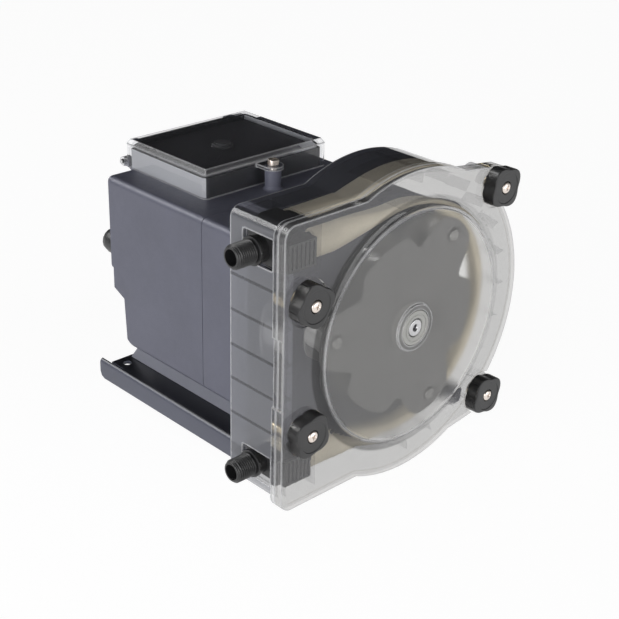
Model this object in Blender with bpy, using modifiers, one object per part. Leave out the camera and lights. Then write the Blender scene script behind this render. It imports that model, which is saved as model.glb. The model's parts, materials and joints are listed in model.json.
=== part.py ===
"""Peristaltic pump, 178 mm wide smoked pump head on a geared motor housing.

Frame: +Z up, the pump head faces -Y, the ports point to -X, the motor is behind (+Y).
The origin is the middle of the footprint, level with the lowest point of the round head rim;
the bracket's flanges end 5 mm above it.
The parts are laid out with the rotor axis at X = 0, the joint between head and motor housing
at Y = 0 and the bracket underside at Z = 0; FRAME_SHIFT moves them to the object frame.
Left is -X, right is +X. All constants are millimetres; the meshes are metres.
"""

import math

import bmesh
import bpy
from mathutils import Matrix, Vector

MM = 0.001

# ---------------------------------------------------------------- shared dimensions
AXIS_Z = 82.2             # rotor axis height
AXIS = (0.0, AXIS_Z)
ROTOR_PIVOT = (0.0, 0.0, AXIS_Z)
CLEARANCE = 0.3           # radial, shaft to bore

# head flange, shared by cover and body
FLANGE_R = 87.2           # round side
FLANGE_LEFT = -91.3
FLANGE_HALF_H = 79.3
FLANGE_CORNER = 7.0
FLANGE_FRONT = -37.8
FLANGE_BACK = -34.7
NOTCH_DEPTH = 1.1         # notch in the left edge of cover and flange
NOTCH_HALF_H = 19.5

# front cover
COVER_FRONT = -43.05      # flat front face
COVER_BACK = -38.1
COVER_SKIN = 2.5
COVER_RIM = 2.6
WINDOW_R = 65.5           # raised window disc
WINDOW_BASE_R = 70.6
WINDOW_FRONT = -45.5
BOSS_R = 13.2
BOSS_FRONT = -47.0

# head body
BODY_R = 86.4
BODY_LEFT = -88.6
BODY_HALF_H = 77.0
BODY_CORNER = 6.0
BODY_WALL = 2.8
BODY_BACK = 3.0           # thickness of the back wall
INNER_CORNER_STEP = 2.0   # hollows of body and cover have corners this much tighter
TRACK_R = 67.5
TRACK_WALL = 2.7
RIB_T = 1.5
RIB_START = 77.5          # the ribs stand on the outer wall and stop short of the track
SIDE_RIB_OFFSETS = (42.1, 22.2, 2.5, -16.9, -37.0)    # from the rotor axis
WALL_SINK = 0.6           # how far added walls reach into the outer wall
ROOT_Y = -BODY_BACK + 0.5  # how far added walls reach into the back wall

# hand knobs; offsets are (x, height above or below the rotor axis)
KNOB_LEFT = (-75.5, 36.4)
KNOB_RIGHT = (64.8, 64.0)
KNOB_CENTRES = {
    "upper_left": (KNOB_LEFT[0], AXIS_Z + KNOB_LEFT[1]),
    "lower_left": (KNOB_LEFT[0], AXIS_Z - KNOB_LEFT[1]),
    "upper_right": (KNOB_RIGHT[0], AXIS_Z + KNOB_RIGHT[1]),
    "lower_right": (KNOB_RIGHT[0], AXIS_Z - KNOB_RIGHT[1]),
}
KNOB_TURNS = {"upper_left": 103, "lower_left": 147, "upper_right": 124, "lower_right": 122}
LUG_R = 10.8
LUG_SPAN = (37.0, 64.0)   # where a lug leaves the round side, degrees from +X
LEFT_BOSS_R = 13.6
RECESS_R = 12.9
KNOB_SEAT = -41.0
KNOB_FRONT = -49.5
KNOB_R = 10.7             # to the unhollowed finger flats; the corners reach 1.17 times this
KNOB_POWER = 3.6          # exponent of the rounded square
KNOB_HOLLOW = 0.35
KNOB_SCREW_FRONT = -49.9

# ports and tube
PORT_Z = 60.0             # above and below the rotor axis
PORT_Y = -18.7
PORT_TIP = -104.0
THREAD_R = 6.4
BLOCK_FRONT = -35.4       # square block that drops into the pocket behind the cover
BLOCK_HALF_H = 7.6
TUBE_R = 8.2
TUBE_WALL = 2.35
TUBE_ARC_R = 64.5
TUBE_ARC_END = 98.0       # the arc runs this many degrees either side of +X
TUBE_FLAT = 2.7           # half thickness of the flattened tube, across the track
TUBE_WIDE = 8.2           # half width of the flattened tube, along Y
TUBE_START = -63.2        # end of the tube, just inside the pocket wall
TUBE_BEND_X = -48.0       # where the straight round tube begins to flatten
TUBE_SEGMENTS = 10

# rotor
ROLLER_C = 53.7           # rotor axis to roller axis
ROLLER_R = 7.6
ROLLER_BORE_R = 2.8
ROLLER_ANGLES = (53.0, 173.0, 293.0)
SPACER_C = 41.5
HUB_HOLE_R = 9.3
CROWN = 0.012             # fall of a long lobe's tip, mm per square degree
SHAFT_R = 5.0
SHAFT_BORE_R = SHAFT_R + CLEARANCE
BEARING_HOLE_R = 12.4

# gear train; meshing axes stand one sum of pitch radii apart
GEAR_M = 1.25
GEAR_N = 48
IDLER_PINION_N = 12
IDLER_N = 32
IDLER_M = 1.25
MOTOR_PINION_N = 8
IDLER_POS = (-30.0, AXIS_Z - 22.5)
MOTOR_POS = (-6.0, AXIS_Z - 15.5)
SMALL_SHAFT_R = 3.0       # idler and motor shafts
SMALL_BORE_R = SMALL_SHAFT_R + CLEARANCE

# motor housing
HOUSE_LEFT = -64.0
HOUSE_RIGHT = 57.0
HOUSE_BOTTOM = 25.9
HOUSE_TOP = 130.2
HOUSE_WALL = 2.8
HOUSE_CORNER = 4.0
SEAM_Y = 53.0
SEAM_HALF_GAP = 0.15
HOUSE_REAR = 136.2
POWER_GLAND = (-53.5, 84.5)
SIGNAL_GLAND = (-55.0, 66.6)
GLAND_REAR = 154.8
REAR_SCREWS = {"left": (-56.0, 112.0), "right": (49.0, 112.0)}

# control box and lid; the X values are half widths
BOX_X = 43.4
BOX_FRONT = 74.2
BOX_REAR = 142.0
BOX_TOP = 142.4
BOX_WALL = 2.2
PANEL_INSET = 2.6
DIAL = (-3.0, 108.5)
LID_X = 46.0
LID_FRONT = 71.5
LID_REAR = 145.2
LID_TOP = 147.6
LID_BOTTOM = 130.6
HINGE = (149.0, 132.5)    # y, z
KNUCKLE_R = 2.8
HINGE_BORE_R = 1.75
POST = (-3.2, 63.5)       # x, y of the lid post

# base
BRACKET_X = 71.6
BRACKET_T = 2.0
BRACKET_TOP = 12.5
BRACKET_BEND_R = 2.6
BRACKET_FRONT = 0.8
BRACKET_FLOOR_END = 135.5
BRACKET_END = 144.0
FOOT_BOLTS = {"left": (-38.0, 70.0), "right": (38.0, 70.0)}
FOOT_BOLT_HOLE_R = 2.9

# centres the footprint and puts the lowest point of the round rim at Z = 0
FRAME_SHIFT = (-(PORT_TIP + FLANGE_R) / 2, -(KNOB_SCREW_FRONT + GLAND_REAR) / 2,
               FLANGE_R - AXIS_Z)

# ---------------------------------------------------------------- scene set-up
for old in list(bpy.data.objects):
    bpy.data.objects.remove(old, do_unlink=True)

PARTS = bpy.data.collections.new("peristaltic_pump")
CUTTERS = bpy.data.collections.new("cutters")
bpy.context.scene.collection.children.link(PARTS)
bpy.context.scene.collection.children.link(CUTTERS)


# ---------------------------------------------------------------- materials
def material(name, colour, roughness, metallic=0.0, alpha=1.0):
    mat = bpy.data.materials.new(name)
    mat.use_nodes = True
    inputs = mat.node_tree.nodes["Principled BSDF"].inputs
    inputs["Base Color"].default_value = (*colour, 1.0)
    inputs["Roughness"].default_value = roughness
    inputs["Metallic"].default_value = metallic
    inputs["Alpha"].default_value = alpha
    mat.diffuse_color = (*colour, alpha)
    return mat


SMOKE = material("smoke_polycarbonate", colour=(0.16, 0.16, 0.165), roughness=0.08, alpha=0.45)
SMOKE_BODY = material("smoke_body", colour=(0.13, 0.13, 0.14), roughness=0.10, alpha=0.5)
CLEAR = material("clear_polycarbonate", colour=(0.85, 0.87, 0.90), roughness=0.05, alpha=0.3)
SLATE = material("slate_plastic", colour=(0.17, 0.175, 0.215), roughness=0.45)
SLATE_REAR = material("slate_plastic_rear", colour=(0.165, 0.17, 0.21), roughness=0.45)
FOOT = material("foot_plastic", colour=(0.24, 0.245, 0.28), roughness=0.5)
PAINT = material("painted_steel", colour=(0.125, 0.13, 0.19), roughness=0.4, metallic=0.2)
BLACK = material("black_nylon", colour=(0.03, 0.03, 0.032), roughness=0.4)
KNOB_BLACK = material("knob_black", colour=(0.055, 0.055, 0.06), roughness=0.5)
PANEL = material("panel_black", colour=(0.02, 0.02, 0.024), roughness=0.45)
ROTOR_GREY = material("rotor_grey", colour=(0.2, 0.2, 0.2), roughness=0.5)
HUB_GREY = material("hub_grey", colour=(0.3, 0.3, 0.3), roughness=0.45)
ROLLER_GREY = material("roller_nylon", colour=(0.33, 0.33, 0.33), roughness=0.4)
WHITE = material("white_acetal", colour=(0.78, 0.79, 0.78), roughness=0.35)
BEIGE = material("beige_elastomer", colour=(0.62, 0.55, 0.42), roughness=0.6)
STEEL = material("steel", colour=(0.55, 0.55, 0.56), roughness=0.3, metallic=1.0)
PIN_STEEL = material("pin_steel", colour=(0.6, 0.6, 0.6), roughness=0.25, metallic=1.0)
BRASS = material("brass", colour=(0.72, 0.52, 0.25), roughness=0.3, metallic=1.0)
SCREW_STEEL = material("screw_steel", colour=(0.75, 0.7, 0.66), roughness=0.25, metallic=1.0)
GEAR = material("gear_acetal", colour=(0.7, 0.68, 0.62), roughness=0.45)
ZINC = material("zinc_plate", colour=(0.5, 0.5, 0.48), roughness=0.4, metallic=1.0)
LAMINATE = material("motor_iron", colour=(0.18, 0.18, 0.19), roughness=0.5, metallic=0.8)


# ---------------------------------------------------------------- solids
def link(name, mesh, mat):
    ob = bpy.data.objects.new(name, mesh)
    PARTS.objects.link(ob)
    if mat is not None:
        mesh.materials.clear()
        mesh.materials.append(mat)
    return ob


def link_bmesh(name, bm, mat=None):
    mesh = bpy.data.meshes.new(name)
    bm.to_mesh(mesh)
    bm.free()
    return link(name, mesh, mat)


def shade(ob, smooth):
    for face in ob.data.polygons:
        face.use_smooth = smooth
    return ob


def settle(ob):
    """Evaluate a construction object into a plain, welded mesh."""
    bpy.context.view_layer.update()
    depsgraph = bpy.context.evaluated_depsgraph_get()
    mesh = bpy.data.meshes.new_from_object(ob.evaluated_get(depsgraph), depsgraph=depsgraph)
    mesh.transform(ob.matrix_world)
    name = ob.name
    bpy.data.objects.remove(ob, do_unlink=True)
    bm = bmesh.new()
    bm.from_mesh(mesh)
    bmesh.ops.remove_doubles(bm, verts=bm.verts, dist=0.00001)
    bmesh.ops.dissolve_degenerate(bm, edges=bm.edges, dist=0.000001)
    bmesh.ops.recalc_face_normals(bm, faces=bm.faces)
    bm.to_mesh(mesh)
    bm.free()
    mesh.name = name
    return mesh


def tapered_block(name, bottom, top, mat=None):
    """Block between two level rectangles, each given as (x0, x1, y0, y1, z)."""
    bm = bmesh.new()
    bmesh.ops.create_cube(bm, size=1.0)
    for vert in bm.verts:
        x0, x1, y0, y1, z = top if vert.co.z > 0 else bottom
        x = x1 if vert.co.x > 0 else x0
        y = y1 if vert.co.y > 0 else y0
        vert.co = Vector((x, y, z)) * MM
    return link_bmesh(name, bm, mat)


def box(name, low, high, mat=None):
    """Box from its lowest and highest corners."""
    sides = (low[0], high[0], low[1], high[1])
    return tapered_block(name, (*sides, low[2]), (*sides, high[2]), mat)


def hip_block(name, half_x, y0, y1, z0, z1, inset):
    """Block whose top is drawn in on all four sides, like a hipped roof."""
    return tapered_block(name, (-half_x, half_x, y0, y1, z0),
                         (inset - half_x, half_x - inset, y0 + inset, y1 - inset, z1))


AXIS_TURN = {             # local +Z to the named axis
    "X": Matrix.Rotation(math.radians(90.0), 4, "Y"),
    "Y": Matrix.Rotation(math.radians(-90.0), 4, "X"),
    "Z": Matrix.Identity(4),
}


def axis_placement(axis, centre, along):
    """Turn local +Z to an axis; centre holds the other two coordinates in XYZ order."""
    a, b = centre
    position = {"X": (along, a, b), "Y": (a, along, b), "Z": (a, b, along)}[axis]
    return Matrix.Translation(Vector(position) * MM) @ AXIS_TURN[axis]


def rod(name, axis, centre, radius, start, end, segments, mat=None):
    """Cylinder along an axis, from start to end."""
    bm = bmesh.new()
    bmesh.ops.create_cone(bm, cap_ends=True, cap_tris=False, segments=segments,
                          radius1=radius * MM, radius2=radius * MM, depth=(end - start) * MM)
    ob = link_bmesh(name, bm, mat)
    ob.data.transform(axis_placement(axis, centre, (start + end) * 0.5))
    for face in ob.data.polygons:
        face.use_smooth = len(face.vertices) == 4
    return ob


def turned(name, axis, centre, profile, segments, mat=None):
    """Turned solid from (radius, position along axis) pairs.

    The profile is closed to a loop when it misses the axis.
    """
    verts = [(radius * MM, 0.0, along * MM) for radius, along in profile]
    edges = [(i, i + 1) for i in range(len(verts) - 1)]
    if profile[0][0] > 1e-6:
        edges.append((len(verts) - 1, 0))
    mesh = bpy.data.meshes.new(name + "_profile")
    mesh.from_pydata(verts, edges, [])
    ob = link(name, mesh, None)
    screw = ob.modifiers.new("Screw", "SCREW")
    screw.axis = "Z"
    screw.angle = math.tau
    screw.steps = segments
    screw.render_steps = segments
    screw.use_merge_vertices = True
    screw.merge_threshold = 0.00001
    ob.matrix_world = axis_placement(axis, centre, 0.0)
    return shade(link(name, settle(ob), mat), False)


PLATE_TURN = {            # drawing plane to the plane across the named axis
    "X": Matrix(((0, 0, 1, 0), (1, 0, 0, 0), (0, 1, 0, 0), (0, 0, 0, 1))),
    "Y": Matrix.Rotation(math.radians(90), 4, "X"),
    "Z": Matrix.Identity(4),
}


def plate(name, axis, loops, start, end, mat=None):
    """Outline extruded along an axis: loops are (y, z) for X, (x, z) for Y, (x, y) for Z."""
    curve = bpy.data.curves.new(name, "CURVE")
    curve.dimensions = "2D"
    curve.fill_mode = "BOTH"
    curve.extrude = (end - start) * 0.5 * MM
    for loop in loops:
        spline = curve.splines.new("POLY")
        spline.points.add(len(loop) - 1)
        for point, (u, v) in zip(spline.points, loop):
            point.co = (u * MM, v * MM, 0.0, 1.0)
        spline.use_cyclic_u = True
    ob = bpy.data.objects.new(name, curve)
    PARTS.objects.link(ob)
    offset = Vector([(start + end) * 0.5 * MM if axis == key else 0.0 for key in "XYZ"])
    ob.matrix_world = Matrix.Translation(offset) @ PLATE_TURN[axis]
    return link(name, settle(ob), mat)


def boolean(ob, other, operation):
    mod = ob.modifiers.new(operation.title() + "_" + other.name[:20], "BOOLEAN")
    mod.operation = operation
    mod.solver = "EXACT"
    mod.object = other
    PARTS.objects.unlink(other)
    CUTTERS.objects.link(other)
    other.hide_render = True
    other.display_type = "WIRE"


def cut(ob, other):
    boolean(ob, other, "DIFFERENCE")


def fuse(ob, other):
    boolean(ob, other, "UNION")


def merged(name, obs):
    """Join several helper solids into one operand."""
    bm = bmesh.new()
    for ob in obs:
        bm.from_mesh(ob.data)
        bpy.data.objects.remove(ob, do_unlink=True)
    return link_bmesh(name, bm)


def pivot(ob, point):
    """Put the object's origin at a point without moving its geometry."""
    origin = Vector(point) * MM
    ob.data.transform(Matrix.Translation(-origin))
    ob.location = origin


# ---------------------------------------------------------------- outlines
def polar(radius, degrees, centre=AXIS):
    angle = math.radians(degrees)
    return centre[0] + radius * math.cos(angle), centre[1] + radius * math.sin(angle)


def arc(centre, radius, start, end, steps):
    return [polar(radius, start + (end - start) * i / steps, centre) for i in range(steps + 1)]


def ring(centre, radius, count):
    return [(centre[0] + radius * math.cos(math.tau * i / count),
             centre[1] + radius * math.sin(math.tau * i / count)) for i in range(count)]


def rounded_rect(u0, u1, v0, v1, corner, steps):
    return (arc((u1 - corner, v1 - corner), corner, 0, 90, steps)
            + arc((u0 + corner, v1 - corner), corner, 90, 180, steps)
            + arc((u0 + corner, v0 + corner), corner, 180, 270, steps)
            + arc((u1 - corner, v0 + corner), corner, 270, 360, steps))


def span(side, near, far, middle=0.0):
    """Low and high ends of a stretch on one side (1 or -1) of a middle."""
    return sorted((middle + side * near, middle + side * far))


def lug_tangent(point, side):
    """Angle on the upper lug's circle of the tangent from a point; both are about the axis."""
    dx = point[0] - KNOB_RIGHT[0]
    dz = point[1] - KNOB_RIGHT[1]
    return math.degrees(math.atan2(dz, dx) + side * math.acos(LUG_R / math.hypot(dx, dz)))


def head_loop(left, half_h, radius, corner, lugs=False):
    """Square on the port side, round on the other, optionally with two knob lugs."""
    loop = arc((left + corner, AXIS_Z + half_h - corner), corner, 90, 180, 5)
    loop += arc((left + corner, AXIS_Z - half_h + corner), corner, 180, 270, 5)
    end = 180.0 - math.degrees(math.asin(half_h / radius))
    if not lugs:
        return loop + arc(AXIS, radius, -end, end, 34)
    # each lug is a circle about the knob's centre, joined to the round side by two tangents
    low, high = LUG_SPAN
    lug_low = lug_tangent(polar(radius, low, (0.0, 0.0)), 1.0)
    lug_high = lug_tangent(polar(radius, high, (0.0, 0.0)), -1.0)
    loop += arc(AXIS, radius, -end, -high, 7)
    loop += arc(KNOB_CENTRES["lower_right"], LUG_R, -lug_high, -lug_low, 7)
    loop += arc(AXIS, radius, -low, low, 10)
    loop += arc(KNOB_CENTRES["upper_right"], LUG_R, lug_low, lug_high, 7)
    loop += arc(AXIS, radius, high, end, 7)
    return loop


def flange_loop():
    return head_loop(FLANGE_LEFT, FLANGE_HALF_H, FLANGE_R, FLANGE_CORNER, lugs=True)


def edge_notch(name, front, back):
    """Cutter for the shallow notch in the middle of the left edge."""
    return box(name, (FLANGE_LEFT - 2.0, front, AXIS_Z - NOTCH_HALF_H),
               (FLANGE_LEFT + NOTCH_DEPTH, back, AXIS_Z + NOTCH_HALF_H))


# ---------------------------------------------------------------- pump head body
def track_rib(degrees):
    """Radial rib standing on the round outer wall."""
    cos, sin = math.cos(math.radians(degrees)), math.sin(math.radians(degrees))
    inner, outer, half = RIB_START, BODY_R - BODY_WALL + WALL_SINK, RIB_T * 0.5
    corners = ((inner, half), (outer, half), (outer, -half), (inner, -half))
    loop = [(r * cos + h * sin, AXIS_Z + r * sin - h * cos) for r, h in corners]
    return plate("rib", "Y", [loop], -33.0, ROOT_Y)


def side_rib(offset):
    """Level rib behind the port-side wall."""
    z = AXIS_Z + offset
    return box("side_rib", (BODY_LEFT + BODY_WALL - WALL_SINK, -34.0, z - 0.8),
               (-81.5, ROOT_Y, z + 0.8))


def port_pocket(side):
    """L-shaped wall: an upright across the port and a shelf towards the rotor axis."""
    wall_low, wall_high = span(side, 49.0, BODY_HALF_H - BODY_WALL + WALL_SINK, AXIS_Z)
    shelf_low, shelf_high = span(side, 49.0, 50.8, AXIS_Z)
    left, wall_left, wall_right = -87.0, -66.0, -64.0
    loop = [(left, shelf_low), (wall_left, shelf_low), (wall_left, wall_low),
            (wall_right, wall_low), (wall_right, wall_high), (wall_left, wall_high),
            (wall_left, shelf_high), (left, shelf_high)]
    return plate("pocket", "Y", [loop], -36.0, ROOT_Y)


def insert_post(x, z):
    """Left posts stand on the back wall; right ones are short bosses in the lugs."""
    if x < 0:
        return rod("post", "Y", (x, z), 6.4, FLANGE_FRONT, ROOT_Y, 14)
    return rod("post", "Y", (x, z), 7.4, -36.0, -22.0, 14)


def port_slot(side):
    low, high = span(side, 52.5, 69.0, AXIS_Z)
    return box("slot", (-96.0, -31.4, low), (-85.0, -9.6, high))


def build_head_body():
    outline = head_loop(BODY_LEFT, BODY_HALF_H, BODY_R, BODY_CORNER)
    body = plate("head_body", "Y", [outline], FLANGE_FRONT + 0.4, 0.0, SMOKE_BODY)
    fuse(body, plate("body_flange", "Y", [flange_loop()], FLANGE_FRONT, FLANGE_BACK))
    inner = head_loop(BODY_LEFT + BODY_WALL, BODY_HALF_H - BODY_WALL, BODY_R - BODY_WALL,
                      BODY_CORNER - INNER_CORNER_STEP)
    cut(body, plate("body_hollow", "Y", [inner], FLANGE_FRONT - 2.0, -BODY_BACK))
    # tube track: a round wall open towards the ports
    track = arc(AXIS, TRACK_R + TRACK_WALL, -97, 97, 22) + arc(AXIS, TRACK_R, 97, -97, 22)
    fuse(body, plate("track_wall", "Y", [track], -35.5, ROOT_Y))
    fuse(body, merged("track_ribs", [track_rib(-84.0 + 14.0 * k) for k in range(13)]))
    fuse(body, merged("side_ribs", [side_rib(offset) for offset in SIDE_RIB_OFFSETS]))
    fuse(body, merged("port_pockets", [port_pocket(side) for side in (1, -1)]))
    # pillars and bosses that carry the cover inserts
    fuse(body, merged("insert_posts", [insert_post(*c) for c in KNOB_CENTRES.values()]))
    holes = [rod("hole", "Y", centre, 4.0, FLANGE_FRONT - 3.0, -27.5, 12)
             for centre in KNOB_CENTRES.values()]
    holes += [rod("hole", "X", (PORT_Y, AXIS_Z + side * PORT_Z), 7.2, -70.0, -60.0, 20)
              for side in (1, -1)]
    holes.append(rod("hole", "Y", AXIS, BEARING_HOLE_R, -8.0, 4.0, 20))
    cut(body, merged("body_holes", holes))
    slots = [port_slot(side) for side in (1, -1)]
    slots.append(edge_notch("notch", FLANGE_FRONT - 1.0, FLANGE_BACK + 1.0))
    cut(body, merged("port_slots", slots))


# ---------------------------------------------------------------- front cover
def build_front_cover():
    cover = plate("front_cover", "Y", [flange_loop()], COVER_FRONT, COVER_BACK, SMOKE)
    disc_back = COVER_BACK - 1.4
    disc = [(0, disc_back), (WINDOW_BASE_R, disc_back), (WINDOW_BASE_R, COVER_FRONT),
            (WINDOW_R, WINDOW_FRONT), (0, WINDOW_FRONT)]
    fuse(cover, turned("window_disc", "Y", AXIS, disc, 40))
    inner = head_loop(FLANGE_LEFT + COVER_RIM, FLANGE_HALF_H - COVER_RIM,
                      FLANGE_R - COVER_RIM, FLANGE_CORNER - INNER_CORNER_STEP)
    cut(cover, plate("cover_hollow", "Y", [inner], COVER_FRONT + COVER_SKIN, COVER_BACK + 1.0))
    hollow = [(0, COVER_BACK + 1.0), (67.6, COVER_BACK + 1.0), (67.6, -41.4),
              (64.2, -43.0), (0, -43.0)]
    cut(cover, turned("window_hollow", "Y", AXIS, hollow, 40))
    bosses = [rod("boss", "Y", centre, LEFT_BOSS_R if centre[0] < 0 else LUG_R - 0.05,
                  COVER_FRONT + 0.5, COVER_BACK, 20) for centre in KNOB_CENTRES.values()]
    fuse(cover, merged("cover_bosses", bosses))
    fuse(cover, rod("bearing_boss", "Y", AXIS, BOSS_R, BOSS_FRONT, -40.2, 24))
    # stepped knob recesses and the bushing's hole
    screw_hole_r = 3.2
    recess = [(0, COVER_BACK + 2.0), (screw_hole_r, COVER_BACK + 2.0),
              (screw_hole_r, KNOB_SEAT), (RECESS_R, KNOB_SEAT),
              (RECESS_R, COVER_FRONT - 2.0), (0, COVER_FRONT - 2.0)]
    holes = [turned("recess", "Y", centre, recess, 20) for centre in KNOB_CENTRES.values()]
    holes.append(rod("bushing_hole", "Y", AXIS, 10.3, BOSS_FRONT - 2.0, -38.0, 24))
    cut(cover, merged("cover_holes", holes))
    cut(cover, edge_notch("cover_notch", COVER_FRONT + 1.1, COVER_BACK + 1.0))


def build_hub_bushing():
    profile = [(SHAFT_BORE_R, -46.8), (6.3, -47.4), (9.2, -47.4), (10.0, -46.8),
               (10.0, -40.4), (SHAFT_BORE_R, -40.4)]
    turned("hub_bushing", "Y", AXIS, profile, 24, WHITE)


# ---------------------------------------------------------------- hand knobs, screws, inserts
def knob_loop(centre, turn):
    """Rounded square, its four flats slightly hollow for the fingers."""
    loop = []
    count = 40
    for i in range(count):
        angle = math.tau * i / count
        local = angle - turn + math.radians(45.0)
        power_sum = abs(math.cos(local)) ** KNOB_POWER + abs(math.sin(local)) ** KNOB_POWER
        radius = KNOB_R * power_sum ** (-1.0 / KNOB_POWER)
        radius -= KNOB_HOLLOW * max(0.0, math.cos(4.0 * local)) ** 2
        loop.append((centre[0] + radius * math.cos(angle), centre[1] + radius * math.sin(angle)))
    return loop


# (radius, y)
KNOB_SCREW_PROFILE = [(0, -29.0), (1.9, -29.0), (1.9, -47.2), (3.3, -47.2), (3.3, -49.3),
                      (2.4, -49.8), (0, KNOB_SCREW_FRONT)]
INSERT_PROFILE = [(2.3, -37.4), (3.7, -37.4), (3.7, -28.0), (2.3, -28.0)]


def build_knobs():
    for key, centre in KNOB_CENTRES.items():
        front = (centre[0], KNOB_FRONT, centre[1])
        loops = [knob_loop(centre, math.radians(KNOB_TURNS[key])), ring(centre, 3.7, 16)]
        pivot(plate("knob_" + key, "Y", loops, KNOB_FRONT, KNOB_SEAT - 0.3, KNOB_BLACK), front)
        pivot(turned("knob_screw_" + key, "Y", centre, KNOB_SCREW_PROFILE, 16, SCREW_STEEL),
              front)
        turned("cover_insert_" + key, "Y", centre, INSERT_PROFILE, 12, BRASS)


# ---------------------------------------------------------------- ports and tube
# (radius, x), from the hose tip inwards and back along the bore
FITTING_PROFILE = [
    (4.3, PORT_TIP), (5.8, PORT_TIP), (THREAD_R, PORT_TIP + 0.7), (THREAD_R, -93.6),
    (7.9, -93.6), (7.9, -89.3), (7.0, -89.3), (7.0, -73.2), (6.4, -73.2), (6.4, -63.6),
    (5.4, -63.6), (5.4, -51.0), (4.8, -50.0), (3.6, -50.0), (3.6, -98.0), (4.3, -98.0),
]


def build_fittings():
    for key, side in (("inlet", 1), ("outlet", -1)):
        z = AXIS_Z + side * PORT_Z
        fitting = turned(key + "_fitting", "X", (PORT_Y, z), FITTING_PROFILE, 18, BLACK)
        block = box("square_block", (-85.5, BLOCK_FRONT, z - BLOCK_HALF_H),
                    (-66.6, PORT_Y + 9.3, z + BLOCK_HALF_H))
        cut(block, rod("square_bore", "X", (PORT_Y, z), 5.5, -90, -60, 20))
        fuse(fitting, block)


def tube_sections():
    """Rings as (centre, normal, half thickness, half width), in X, Z about the rotor axis."""
    sections = [((x, PORT_Z), (0.0, 1.0), TUBE_R, TUBE_R)
                for x in (TUBE_START, -56.0, TUBE_BEND_X)]
    # from round to flat, on the way to the arc
    end_x, end_z = polar(TUBE_ARC_R, TUBE_ARC_END, (0.0, 0.0))
    end_normal = Vector(polar(1.0, TUBE_ARC_END, (0.0, 0.0)))
    for k in range(1, 5):
        t = k / 5.0
        normal = (Vector((0.0, 1.0)) * (1 - t) + end_normal * t).normalized()
        centre = (TUBE_BEND_X + (end_x - TUBE_BEND_X) * t, PORT_Z + (end_z - PORT_Z) * t)
        sections.append((centre, (normal.x, normal.y), TUBE_R + (TUBE_FLAT - TUBE_R) * t,
                         TUBE_R + (TUBE_WIDE - TUBE_R) * t))
    lead_in = list(sections)
    steps = 18
    for k in range(steps + 1):
        degrees = TUBE_ARC_END - 2 * TUBE_ARC_END * k / steps
        sections.append((polar(TUBE_ARC_R, degrees, (0.0, 0.0)),
                         polar(1.0, degrees, (0.0, 0.0)), TUBE_FLAT, TUBE_WIDE))
    for (x, z), (normal_x, normal_z), thick, wide in reversed(lead_in):
        sections.append(((x, -z), (normal_x, -normal_z), thick, wide))
    return sections


def place_tube_ring(verts, section, wall):
    """Lay verts on a section shrunk by wall: two half circles pulled apart along Y."""
    (x, z), (normal_x, normal_z), thick, wide = section
    thick, wide = thick - wall, wide - wall
    flat = wide - thick
    for i, vert in enumerate(verts):
        angle = math.tau * (i + 0.5) / TUBE_SEGMENTS
        cos = math.cos(angle)
        across = thick * math.sin(angle)
        y = thick * cos + (flat if cos > 0 else -flat)
        vert.co = Vector(((x + normal_x * across) * MM, (PORT_Y + y) * MM,
                          (AXIS_Z + z + normal_z * across) * MM))


def build_squeeze_tube():
    """Sweep a ring along the outside, back along the bore, and weld it to its start."""
    bm = bmesh.new()
    sections = tube_sections()
    circle = bmesh.ops.create_circle(bm, cap_ends=False, segments=TUBE_SEGMENTS, radius=0.01)
    verts = sorted(circle["verts"], key=lambda v: math.atan2(v.co.y, v.co.x))
    place_tube_ring(verts, sections[0], 0.0)
    path = [(section, 0.0) for section in sections[1:]]
    path += [(section, TUBE_WALL) for section in reversed(sections)]
    path.append((sections[0], 0.0))
    for section, wall in path:
        edges = [e for e in bm.edges if e.verts[0] in verts and e.verts[1] in verts]
        extruded = bmesh.ops.extrude_edge_only(bm, edges=edges)["geom"]
        new = [item for item in extruded if isinstance(item, bmesh.types.BMVert)]
        # the new verts still lie on the old ones, so the nearest is the match
        verts = [min(new, key=lambda w: (w.co - v.co).length) for v in verts]
        place_tube_ring(verts, section, wall)
    bmesh.ops.remove_doubles(bm, verts=bm.verts, dist=0.000005)
    bmesh.ops.recalc_face_normals(bm, faces=bm.faces)
    shade(link_bmesh("squeeze_tube", bm, BEIGE), True)


# ---------------------------------------------------------------- rotor
def ease(start, end, t):
    return start + (end - start) * (3 * t * t - 2 * t * t * t)


def rotor_loop(long_r, short_r, notch_r):
    """Six-lobed plate: three long lobes over the rollers, three short ones between."""
    loop = []
    count = 72
    for i in range(count):
        degrees = 360.0 * i / count
        away = abs((degrees - ROLLER_ANGLES[0] + 60.0) % 120.0 - 60.0)
        if away < 10:
            radius = long_r - CROWN * away * away
        elif away < 29:
            radius = ease(long_r - CROWN * 10 * 10, notch_r, (away - 10.0) / 19.0)
        elif away < 42:
            radius = ease(notch_r, short_r, (away - 29.0) / 13.0)
        else:
            radius = short_r
        loop.append(polar(radius, degrees))
    return loop


# (radius, y)
HUB_PROFILE = [(SHAFT_BORE_R, -39.6), (12.4, -39.6), (13.4, -38.9), (13.4, -37.5),
               (9.0, -37.5), (9.0, -4.0), (SHAFT_BORE_R, -4.0)]
ROLLER_PROFILE = [(ROLLER_BORE_R, -34.3), (6.8, -34.3), (ROLLER_R, -33.5), (ROLLER_R, -9.5),
                  (6.8, -8.7), (ROLLER_BORE_R, -8.7)]
ROLLER_PIN_PROFILE = [(0, -5.0), (2.5, -5.0), (2.5, -37.5), (3.9, -37.5), (3.9, -38.6),
                      (3.2, -39.3), (0, -39.3)]
OUTPUT_SHAFT_PROFILE = [(0, 23.6), (4.6, 23.6), (SHAFT_R, 23.2), (SHAFT_R, -46.6),
                        (4.5, -47.1), (2.2, -47.1), (1.6, -46.2), (1.6, -41.5), (0, -40.6)]


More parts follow.
